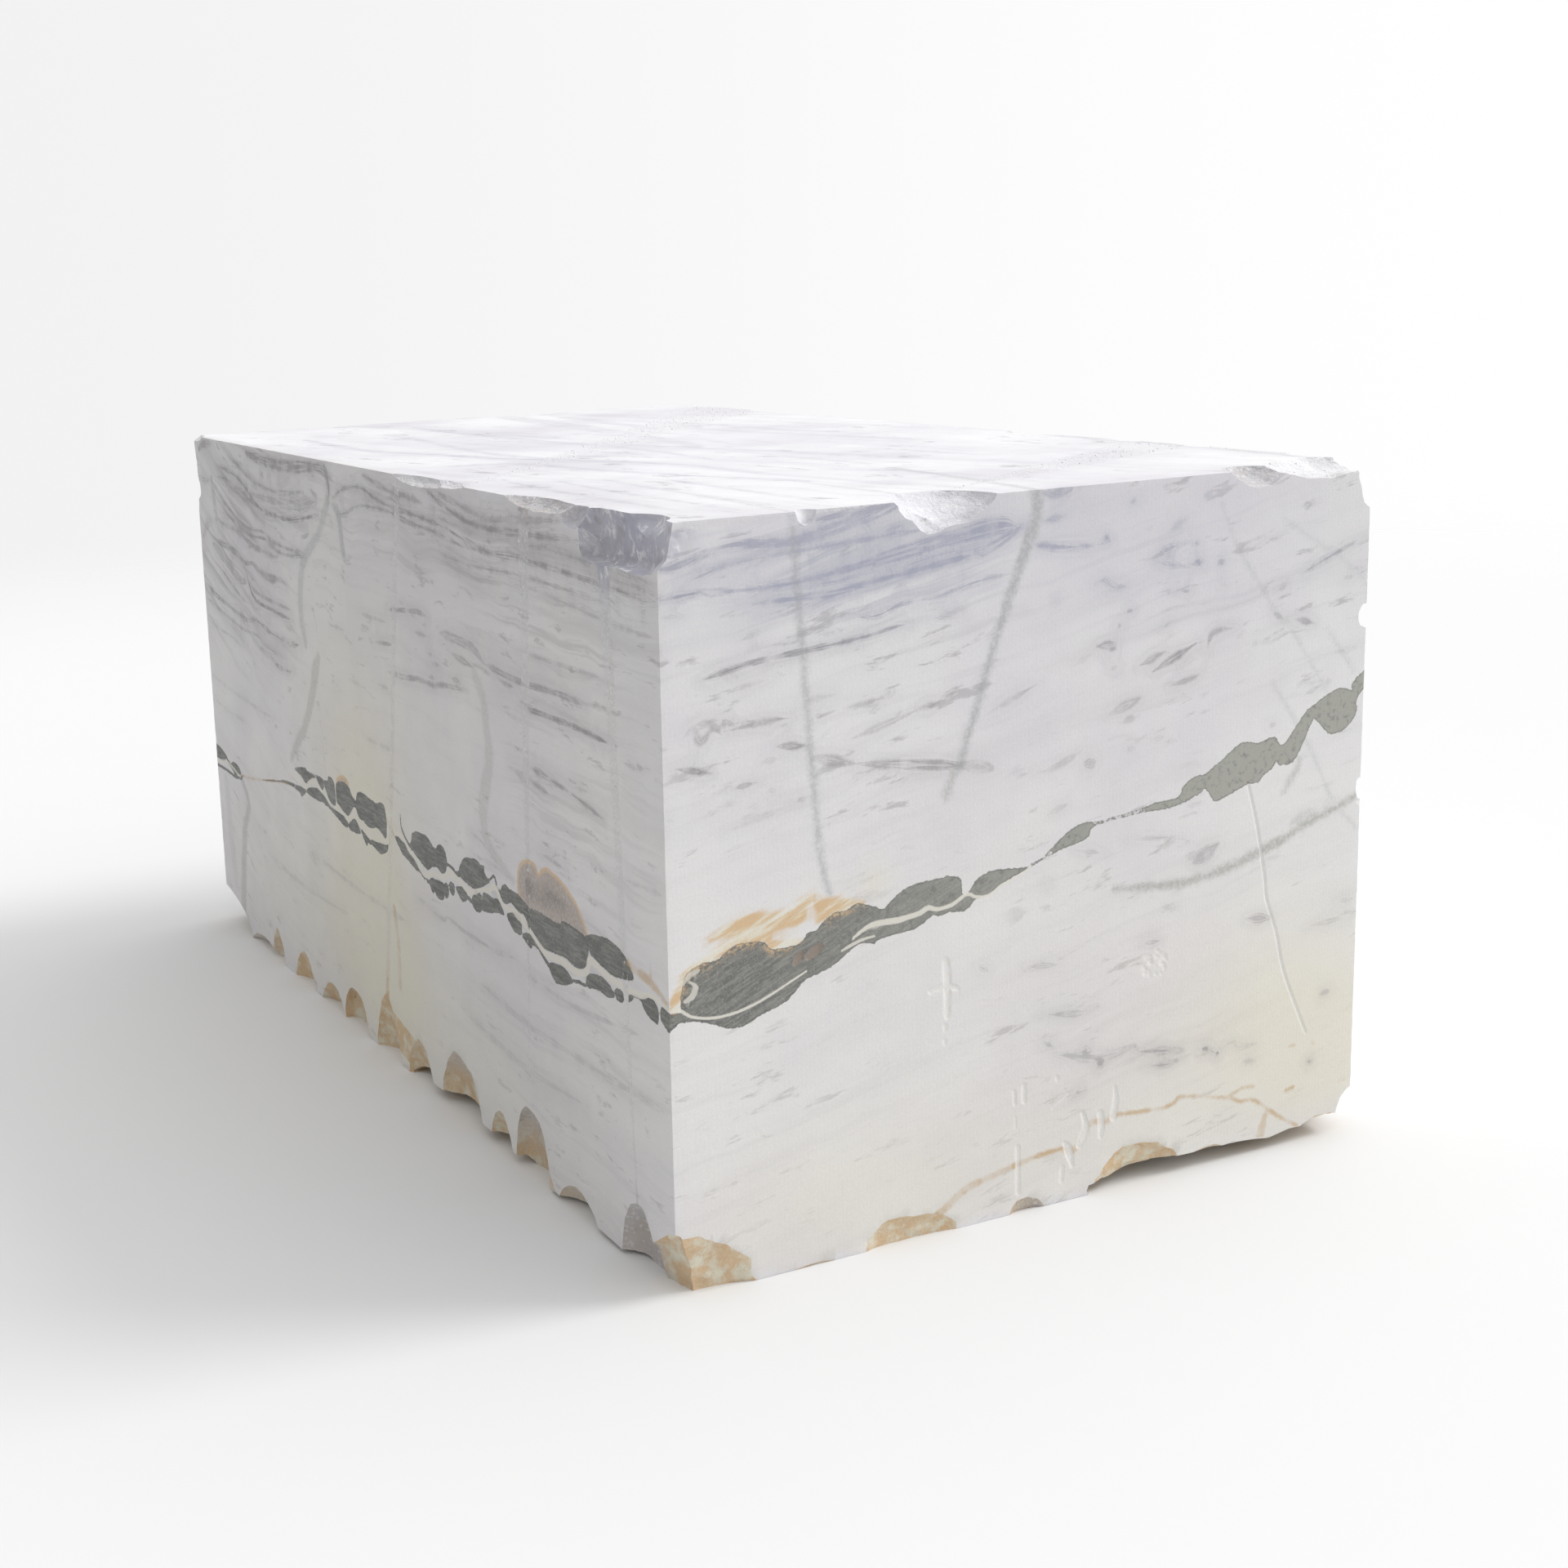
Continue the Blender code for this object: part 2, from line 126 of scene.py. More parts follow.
# Each row is (strength, half width, points...) in millimetres. A point is (a, b): a runs along
# the wall, as X on the front and back walls and as Y on the side walls, and b is the height, or
# Y on the top. Where the half width is 0, each point carries its own, as (a, b, half width).
STREAKS: tuple[Stroke, ...] = (
    # Front wall, the bluish bands below the top arris
    *strokes(Side.FRONT, 0,
        (0.8, 0, (-672, 1136, 4), (-644, 1134, 5), (-620, 1138, 6), (-542, 1159, 5), (-422, 1158, 8),
         (-240, 1199, 6)),
        (0.7, 4, (-640, 1182), (-596, 1183)),
        (0.75, 5.5, (-424, 1180), (-260, 1201)),
        (0.7, 3, (-632, 1102), (-584, 1120), (-506, 1135), (-206, 1155)),
        (0.6, 3, (-296, 1150), (-248, 1165), (-224, 1167)),
        (0.9, 0, (-674, 1087, 3), (-590, 1095, 4), (-560, 1092, 6), (-410, 1097, 4), (-104, 1147, 13),
         (-36, 1146, 11)),
        (0.65, 3, (-428, 1087), (-356, 1091), (-248, 1105)),
        (0.9, 5, (-506, 1069), (-368, 1075), (-128, 1108), (-98, 1113), (-23, 1146)),
        (0.8, 3, (-419, 1048), (-380, 1066), (-314, 1076)),
        (0.65, 2.5, (-272, 1093), (-200, 1111), (-92, 1124)),
        (0.8, 3, (-344, 1033), (-296, 1031), (-248, 1045), (-182, 1051), (-116, 1066), (-53, 1073)),
        (0.95, 3, (-602, 963), (-506, 982), (-332, 999), (-260, 1011), (-230, 1011)),
        (0.5, 2.5, (-206, 1016), (-134, 1018)),
        (0.45, 2.5, (-566, 935), (-536, 946), (-476, 955)),
        (0.4, 2.5, (-536, 1015), (-482, 1030)),
        (0.5, 3, (-660, 1064), (-620, 1063)),
        (0.35, 2.5, (-410, 1012), (-344, 1015)),
    ),
    # Front wall, the flecks and dashes
    *strokes(Side.FRONT, 0,
        (0.85, 3, (-566, 904), (-539, 889)),
        (0.55, 4, (-630, 880), (-612, 895), (-600, 872), (-580, 888), (-562, 878)),
        (0.45, 3, (-618, 898), (-590, 900), (-560, 890)),
        (0.75, 3, (-542, 886), (-470, 892), (-440, 889)),
        (0.75, 3, (-408, 889), (-392, 889)),
        (0.5, 2.5, (-368, 893), (-266, 905)),
        (0.4, 3, (-434, 913), (-368, 918)),
        (0.3, 9, (-284, 906), (-268, 914)),
        (0.4, 4, (-347, 845), (-224, 877)),
        (0.9, 4, (-226, 877), (-190, 884)),
        (0.55, 3, (-176, 890), (-158, 896)),
        (0.9, 4.5, (-476, 851), (-422, 845)),
        (1, 3.5, (-643, 838), (-580, 823)),
        (0.55, 7.5, (-416, 826), (-344, 807)),
        (0.75, 0, (-344, 807, 4), (-140, 777, 9)),
        (0.4, 10.5, (-140, 777), (-92, 767)),
        (0.7, 2.5, (-551, 795), (-509, 800)),
        (0.4, 3, (-500, 829), (-470, 832)),
        (0.45, 3.5, (-490, 785), (-476, 783)),
        (0.5, 3, (-443, 761), (-422, 765)),
        (0.35, 2.5, (-566, 730), (-440, 760)),
        (0.45, 3, (-104, 853), (4, 895)),
        (0.3, 4, (66, 914), (100, 928)),
        (0.35, 4, (-2, 748), (28, 751), (88, 775)),
        (0.6, 8.5, (92, 748), (106, 750)),
        (0.85, 4, (29, 1024), (35, 1025)),
        (0.85, 6, (110, 940), (146, 938), (140, 930)),
        (0.85, 0, (0, 1112, 9), (58, 1105, 3.5), (138, 1103, 3)),
        (0.85, 4, (126, 1115), (134, 1114)),
        (0.75, 0, (8, 1196, 7), (30, 1192, 10), (84, 1200, 5)),
        (0.55, 4.5, (12, 1150), (52, 1155)),
        (0.75, 3.5, (108, 1042), (126, 1047), (141, 1034), (168, 1032)),
        (0.9, 3, (225, 1067), (237, 1081), (290, 1093)),
        (0.8, 3, (225, 1067), (282, 1054)),
        (0.45, 5.5, (255, 1114), (290, 1133)),
        (0.95, 5.5, (302, 1056), (322, 1058)),
        (0.65, 5.5, (354, 1052), (366, 1057)),
        (0.55, 3.5, (304, 1090), (314, 1089)),
        (0.55, 3, (176, 1166), (190, 1169)),
        (0.35, 5, (324, 1166), (342, 1168)),
        (0.85, 4, (252, 1017), (258, 1018)),
        (0.85, 3, (278, 1014), (298, 1012)),
        (0.45, 3.5, (358, 1018), (374, 1014)),
        (0.8, 3, (168, 990), (184, 993)),
        (0.55, 3.5, (153, 967), (159, 971)),
        (0.5, 2.5, (240, 955), (261, 967)),
        (0.85, 4, (192, 898), (248, 918)),
        (0.9, 5, (222, 886), (312, 925)),
        (0.85, 3.5, (335, 906), (336, 922), (348, 940), (396, 942)),
        (0.8, 3.5, (138, 899), (152, 903)),
        (0.65, 3, (255, 858), (312, 869), (324, 877)),
        (0.45, 7, (138, 826), (198, 846)),
        (0.35, 4.5, (224, 773), (246, 775)),
        (0.3, 4, (172, 762), (188, 764)),
        (0.45, 4, (16, 675), (54, 688)),
        (0.5, 3, (468, 961), (492, 946)),
        (0.8, 3.5, (510, 946), (564, 931)),
        (0.8, 3.5, (528, 1019), (676, 1076)),
        (0.65, 4, (480, 995), (498, 1004)),
        (0.4, 3, (618, 1003), (646, 1005)),
        (0.4, 3, (640, 1018), (670, 1017)),
        (0.55, 3, (543, 811), (576, 823)),
        (0.5, 4, (588, 826), (600, 831)),
        (0.45, 3, (466, 766), (482, 768)),
        (0.55, 2.5, (60, 610), (132, 593)),
        (0.4, 2.5, (168, 607), (198, 608), (276, 599), (300, 587)),
        (0.45, 3.5, (6, 565), (22, 556)),
        (0.55, 0, (304, 548, 9), (326, 556, 15), (362, 576, 9)),
    ),
    # Front wall, the smudges lower down
    *strokes(Side.FRONT, 0,
        (0.4, 6, (-123, 446), (-102, 432)),
        (0.4, 4.5, (-32, 428), (38, 418)),
        (0.55, 3, (199, 425), (248, 425)),
        (0.6, 4, (3, 338), (80, 327), (115, 333)),
        (0.5, 4, (3, 292), (26, 277)),
        (0.45, 0, (28, 264, 5), (120, 243, 8), (190, 248, 10)),
        (0.6, 4, (84, 262), (94, 258)),
        (0.8, 7, (114, 236), (124, 228)),
        (0.8, 5, (190, 238), (292, 221)),
        (0.7, 4, (213, 208), (255, 202), (290, 206)),
        (0.8, 6, (330, 216), (348, 211)),
        (0.85, 4.5, (362, 202), (370, 201)),
        (0.45, 3.5, (374, 211), (402, 215), (409, 204), (451, 202)),
        (0.3, 6, (420, 175), (450, 171)),
        (0.55, 8.5, (423, 434), (474, 427)),
        (0.45, 3.5, (549, 397), (668, 400)),
        (0.5, 4, (619, 432), (668, 431)),
        (0.6, 5, (68, 187), (80, 189)),
        (0.4, 7, (590, 267), (612, 270)),
        (0.55, 6, (562, 145), (578, 146)),
    ),
    # Left wall, the folded bands at the far end
    *strokes(Side.LEFT, 0,
        (0.55, 10, (1275, 1170), (1230, 1184), (1160, 1188)),
        (0.9, 4, (1115, 1140), (1000, 1132), (940, 1122), (880, 1105), (820, 1080), (760, 1065),
         (680, 1060), (530, 1060), (330, 1085)),
        (0.55, 4, (1000, 1165), (940, 1155), (880, 1135), (760, 1118), (600, 1112), (430, 1126)),
        (0.8, 0, (860, 1186, 6), (820, 1180, 9), (580, 1171, 12), (330, 1183, 9), (262, 1174, 11),
         (250, 1140, 12), (262, 1112, 10)),
        (0.45, 0, (1010, 1098, 3), (560, 1090, 10), (340, 1112, 12)),
        (0.8, 3, (1115, 1115), (1030, 1112), (900, 1090), (780, 1062)),
        (0.7, 3, (1115, 1058), (1060, 1052), (890, 1015), (760, 1015), (700, 1002), (580, 994), (460, 998)),
        (0.75, 3, (1105, 1035), (990, 1020), (930, 1005), (870, 998), (740, 1000), (680, 985), (620, 980),
         (560, 980), (480, 988), (430, 985)),
        (0.6, 5.5, (1150, 1017), (1090, 1005), (970, 998), (860, 978), (660, 965)),
        (0.75, 0, (1180, 962, 5), (1010, 948, 7), (920, 930, 4), (860, 935, 5), (800, 920, 8),
         (720, 915, 9), (640, 920, 6), (590, 910, 4)),
        (0.6, 10, (1200, 950), (1000, 892), (930, 885)),
        (1, 3, (930, 920), (890, 870), (860, 855), (820, 848), (560, 838)),
        (0.55, 3, (900, 900), (840, 870), (560, 860)),
        (0.6, 3, (1150, 898), (1030, 860), (960, 842), (910, 835)),
        (0.8, 4.5, (1290, 846), (1200, 825), (980, 800), (920, 798), (860, 805), (740, 790), (600, 785),
         (510, 792)),
        (0.5, 3.5, (1305, 810), (1060, 778), (960, 770), (860, 770), (800, 755), (640, 745)),
        (0.8, 3, (760, 730), (700, 720), (620, 720), (580, 730)),
        (0.35, 3, (1300, 755), (1210, 745), (1100, 740), (990, 725)),
        (0.55, 2.5, (880, 745), (740, 738)),
        (0.4, 11.5, (1175, 1110), (1150, 1010)),
        (0.35, 7.5, (1290, 1105), (1230, 1098), (1200, 1100)),
        (0.35, 11.5, (1290, 960), (1230, 1000), (1190, 985)),
        (0.25, 4, (1310, 620), (1120, 605), (760, 590)),
        (0.25, 3.5, (1310, 560), (1150, 548), (1000, 545)),
    ),
    # Left wall, the long bands below the top arris
    *strokes(Side.LEFT, 0,
        (0.9, 3, (228, 1126), (180, 1144), (120, 1156), (36, 1160), (-96, 1140), (-396, 1124), (-612, 1098),
         (-804, 1100), (-1308, 1086)),
        (0.8, 3, (210, 1096), (144, 1104), (60, 1124), (-36, 1128), (-132, 1126), (-228, 1116),
         (-396, 1108), (-540, 1092)),
        (0.7, 5.5, (24, 1186), (-144, 1164), (-216, 1164), (-312, 1156)),
        (0.9, 4.5, (-324, 1186), (-468, 1152), (-636, 1138), (-1020, 1150)),
        (0.55, 5, (-372, 1186), (-564, 1160), (-660, 1156), (-960, 1176)),
        (0.6, 3, (-396, 1072), (-564, 1066), (-780, 1072), (-1104, 1066)),
        (0.4, 3, (-732, 1054), (-852, 1054), (-1140, 1036), (-1308, 1032)),
        (0.6, 3, (-780, 1120), (-900, 1126), (-1300, 1112)),
        (0.5, 2.5, (-1056, 1108), (-1300, 1100)),
        (0.75, 3, (-72, 936), (-252, 952), (-324, 946)),
        (0.4, 2.5, (96, 910), (-84, 910)),
        (0.5, 2.5, (-216, 912), (-324, 912)),
        (0.6, 2.5, (24, 862), (-120, 872)),
        (0.7, 4, (-60, 814), (-156, 816), (-240, 824), (-324, 824), (-372, 832), (-504, 840)),
        (0.8, 3, (-300, 880), (-330, 880)),
        (0.8, 3, (-318, 864), (-360, 866)),
        (0.8, 3, (-300, 838), (-336, 838)),
        (0.7, 3, (-420, 852), (-470, 850)),
        (0.55, 7.5, (-372, 928), (-528, 922), (-588, 902)),
        (0.75, 4.5, (-588, 900), (-756, 892), (-948, 896), (-1044, 888)),
        (0.55, 5, (-420, 898), (-540, 886)),
        (0.7, 2.5, (-648, 880), (-744, 878)),
        (1, 3.5, (-744, 850), (-972, 852), (-1128, 846)),
        (0.85, 3, (-768, 752), (-948, 740), (-1092, 720)),
        (0.55, 4.5, (-684, 736), (-888, 718)),
        (0.4, 2.5, (-960, 752), (-1032, 754)),
        (0.5, 2.5, (-1164, 826), (-1236, 824)),
        (0.6, 4, (-816, 610), (-936, 604)),
        (0.4, 3, (-1152, 640), (-1308, 646)),
        (0.3, 3, (120, 656), (-84, 658)),
        (0.35, 2.5, (-780, 944), (-1116, 946)),
        (0.3, 2.5, (300, 862), (180, 862)),
        (0.4, 2.5, (12, 780), (-72, 780)),
        (0.55, 2.5, (-462, 581), (-540, 572), (-576, 557), (-606, 551)),
        (0.45, 2.5, (-560, 537), (-600, 540), (-655, 534)),
        (0.35, 4, (-150, 388), (-300, 376), (-340, 386), (-420, 380), (-560, 382), (-680, 392)),
        (0.3, 4.5, (-700, 384), (-860, 374), (-1000, 380), (-1200, 400)),
        (0.25, 4.5, (560, 330), (200, 318), (-100, 320)),
        (0.25, 4.5, (900, 250), (600, 236), (300, 244)),
        (0.3, 5.5, (-500, 300), (-760, 284), (-1290, 300)),
        (0.25, 5.5, (-420, 220), (-700, 200), (-980, 214)),
    ),
)

# Veins of grey calcite that cut across the bedding
VEINS: tuple[Stroke, ...] = (
    *strokes(Side.FRONT, 0.15,
        (0.72, 5, (-438, 1202), (-408, 720), (-400, 650), (-388, 608)),
    ),
    *strokes(Side.FRONT, 0.2,
        (0.85, 0, (-2, 1202, 11), (-8, 1150, 10), (-70, 1000, 7.5), (-152, 775, 6)),
    ),
    *strokes(Side.FRONT, 0.7,
        (0.6, 7.5, (-160, 772), (-176, 732)),
    ),
    *strokes(Side.FRONT, 0.75,
        (0.9, 0, (144, 530, 3), (252, 520, 7), (300, 520, 6), (378, 529, 6), (498, 562, 7), (540, 580, 6),
         (624, 604, 4.5), (674, 624, 4.5)),
        (0.45, 0, (520, 590, 5), (548, 598, 9), (574, 600, 5)),
    ),
    *strokes(Side.FRONT, 0.55,
        (0.55, 5, (532, 700), (528, 684), (500, 645)),
    ),
    *strokes(Side.FRONT, 0.15,
        (0.34, 2.5, (360, 1150), (384, 1096), (414, 1048), (480, 958), (510, 928), (591, 811)),
        (0.34, 2.5, (474, 838), (552, 724), (600, 634), (630, 595), (670, 554)),
        (0.3, 2.5, (588, 922), (648, 841)),
        (0.25, 2.5, (492, 1114), (588, 1054)),
        (0.25, 2.5, (612, 1042), (670, 996)),
    ),
    *strokes(Side.LEFT, 0.2,
        (0.7, 0, (226, 1112, 6), (198, 1102, 12), (186, 1066, 12), (180, 1030, 12), (166, 1006, 7)),
    ),
    *strokes(Side.LEFT, 0.3,
        (0.5, 0, (262, 1120, 14), (300, 1080, 12), (350, 1040, 11), (450, 985, 14), (480, 950, 16),
         (500, 900, 16), (500, 850, 15), (480, 800, 12)),
    ),
    *strokes(Side.LEFT, 0.8,
        (0.55, 0, (392, 780, 12), (425, 745, 20), (450, 700, 18), (490, 650, 16), (540, 600, 14),
         (600, 560, 12), (650, 520, 10)),
    ),
    *strokes(Side.LEFT, 0.7,
        (0.38, 0, (-540, 874, 12), (-576, 838, 14), (-588, 790, 16), (-594, 730, 18), (-570, 682, 20),
         (-552, 634, 20), (-560, 590, 14), (-600, 562, 10), (-680, 532, 8)),
    ),
    *strokes(Side.LEFT, 0.55,
        (0.65, 0, (1100, 402, 9), (1060, 370, 10), (1040, 340, 12), (1070, 300, 14), (1100, 250, 18),
         (1160, 50, 22)),
    ),
    *strokes(Side.LEFT, 0.5,
        (0.25, 20.5, (1240, 360), (1230, 240), (1210, 120)),
    ),
    *strokes(Side.TOP, 0.15,
        (0.55, 9, (-2, -1312), (30, -1000), (40, -800)),
        (0.35, 5, (-438, -1312), (-430, -1150), (-428, -980)),
    ),
    *strokes(Side.RIGHT, 0.75,
        (0.6, 0, (-1312, 624, 5), (-1160, 650, 7), (-980, 664, 8), (-760, 690, 6), (-560, 700, 4)),
    ),
    *strokes(Side.RIGHT, 0.2,
        (0.7, 0, (620, 1202, 9), (560, 1080, 8), (520, 930, 9), (360, 700, 6)),
    ),
    *strokes(Side.RIGHT, 0.45,
        (0.55, 0, (-420, 520, 5), (-280, 440, 8), (-170, 330, 9), (-60, 60, 9)),
    ),
    *strokes(Side.BACK, 0.2,
        (0.7, 0, (-380, 1202, 8), (-330, 1060, 8), (-300, 900, 9), (-240, 760, 7), (-220, 660, 5)),
    ),
    *strokes(Side.BACK, 0.6,
        (0.6, 7, (670, 380), (540, 330), (380, 290), (200, 210), (90, 90)),
    ),
)

# Hairlines of cream calcite, in and between the dark lenses
HAIRLINES: tuple[Stroke, ...] = (
    *strokes(Side.FRONT, 0,
        (1, 0, (-674, 466, 2.5), (-660, 468, 2.5), (-649, 465, 2.5), (-627, 451, 2), (-580, 444, 2),
         (-520, 455, 2), (-434, 490, 1.3)),
        (1, 0, (-349, 530, 1.8), (-316, 545, 4), (-272, 545, 5), (-250, 547, 4), (-228, 550, 4),
         (-212, 556, 4), (-195, 551, 3), (-168, 554, 3), (-140, 567, 2.5), (-124, 560, 2.5), (-107, 558, 2),
         (-91, 562, 2), (-74, 572, 2), (-52, 578, 1.8), (-22, 591, 1.4)),
        (0.9, 0, (-371, 512, 1.6), (-349, 520, 2.5), (-327, 525, 2), (-311, 526, 1.6)),
        (0.8, 0, (-642, 479, 3), (-630, 484, 5), (-623, 498, 4), (-630, 506, 2)),
        (0.7, 0, (-646, 505, 2), (-632, 519, 4), (-618, 523, 3)),
    ),
    *strokes(Side.LEFT, 0,
        (0.9, 0, (640, 490, 5), (560, 474, 6), (520, 489, 5), (480, 500, 6), (440, 487, 3), (400, 483, 4),
         (370, 468, 4), (290, 467, 4), (256, 459, 4), (205, 484, 8), (180, 470, 5), (148, 462, 5),
         (100, 458, 5), (64, 464, 4), (28, 461, 4), (1, 466, 4), (-4, 490, 3)),
        (0.8, 2.5, (331, 522), (328, 473)),
        (1, 0, (-30, 490, 2.5), (-90, 493, 3.5), (-114, 485, 3.5), (-132, 473, 3.5), (-162, 464, 3.5),
         (-192, 449, 4), (-222, 441, 4), (-264, 455, 5), (-300, 458, 4.5), (-330, 463, 6), (-360, 476, 8),
         (-384, 476, 7), (-420, 471, 5), (-456, 463, 6), (-492, 471, 4.5), (-528, 483, 3.5), (-558, 487, 5),
         (-582, 500, 6), (-600, 500, 5), (-624, 479, 4.5), (-660, 476, 4.5), (-676, 479, 4.5),
         (-732, 468, 9), (-755, 459, 5), (-814, 438, 6), (-850, 438, 6), (-892, 442, 6), (-940, 438, 6),
         (-976, 443, 6), (-1000, 455, 7), (-1006, 473, 6), (-1030, 472, 6), (-1090, 464, 6),
         (-1198, 465, 5), (-1240, 476, 3.5), (-1276, 474, 3.5), (-1310, 468, 3)),
        (0.7, 0, (1300, 404, 3), (1210, 414, 4), (1100, 398, 3)),
    ),
)

# Long, thin iron-stained lines
RUST_LINES: tuple[Stroke, ...] = (
    *strokes(Side.LEFT, 0,
        (0.5, 10, (-20, 330), (-34, 260), (-30, 170)),
    ),
    *strokes(Side.FRONT, 0,
        (0.95, 0, (-204, 32, 7), (-158, 60, 7), (-130, 71, 6), (-18, 91, 4), (46, 96, 2.5)),
        (0.6, 5, (46, 92), (66, 88), (84, 112), (104, 130), (128, 124), (150, 134)),
        (0.85, 3, (150, 135), (164, 131), (248, 125), (276, 130), (290, 138), (388, 114), (416, 103),
         (451, 96), (507, 54), (545, 30)),
        (0.6, 2.5, (388, 116), (423, 126), (446, 124)),
        (0.85, 3, (520, 102), (536, 105)),
        (0.55, 0, (462, 30, 9), (474, 66, 4)),
        (0.6, 2.5, (524, 184), (538, 183)),
        (0.5, 2.5, (574, 182), (580, 178)),
        (0.5, 2.5, (640, 95), (654, 96)),
    ),
    *strokes(Side.LEFT, 0,
        (0.75, 0, (-1150, 512, 3), (-1180, 503, 7), (-1240, 498, 7), (-1308, 476, 4)),
        (0.6, 2.5, (-1244, 500), (-1245, 524)),
        (0.45, 5, (-5, 510), (-50, 480)),
        (0.6, 2.5, (1090, 404), (1000, 412), (760, 448), (680, 456)),
    ),
)

# Narrow links of dark rock between the lenses
DARK_LINKS: tuple[Stroke, ...] = (
    *strokes(Side.LEFT, 0,
        (1, 0, (1228, 428, 4), (1188, 412, 5)),
        (1, 0, (1345, 392, 4), (1230, 393, 3.5), (1150, 390, 4), (1096, 396, 4), (1080, 404, 2.5)),
        (0.8, 0, (900, 426, 1.6), (760, 449, 2.5), (700, 457, 3.5), (640, 461, 4.5)),
        (1, 0, (-90, 535, 1.5), (-93, 510, 3), (-125, 488, 3.5), (-150, 481, 5)),
        (1, 0, (-345, 492, 3), (-378, 489, 3), (-396, 483, 5), (-414, 488, 5)),
        (1, 0, (-565, 508, 2), (-591, 521, 2.5), (-603, 506, 2.5), (-620, 497, 3)),
        (1, 0, (-180, 450, 3), (-210, 437, 3), (-245, 433, 4)),
        (1, 4, (-448, 451), (-474, 447)),
        (1, 0, (-660, 503, 11), (-700, 500, 14), (-745, 492, 12)),
        (1, 0, (-781, 443, 3), (-805, 430, 3.5), (-832, 419, 4)),
        (1, 0, (-934, 419, 3), (-964, 424, 3), (-984, 424, 2.5)),
        (1, 0, (-1184, 461, 2), (-1210, 459, 3)),
        (1, 0, (205, 500, 6), (190, 503, 8)),
        (1, 0, (384, 463, 5), (350, 461, 6)),
    ),
)

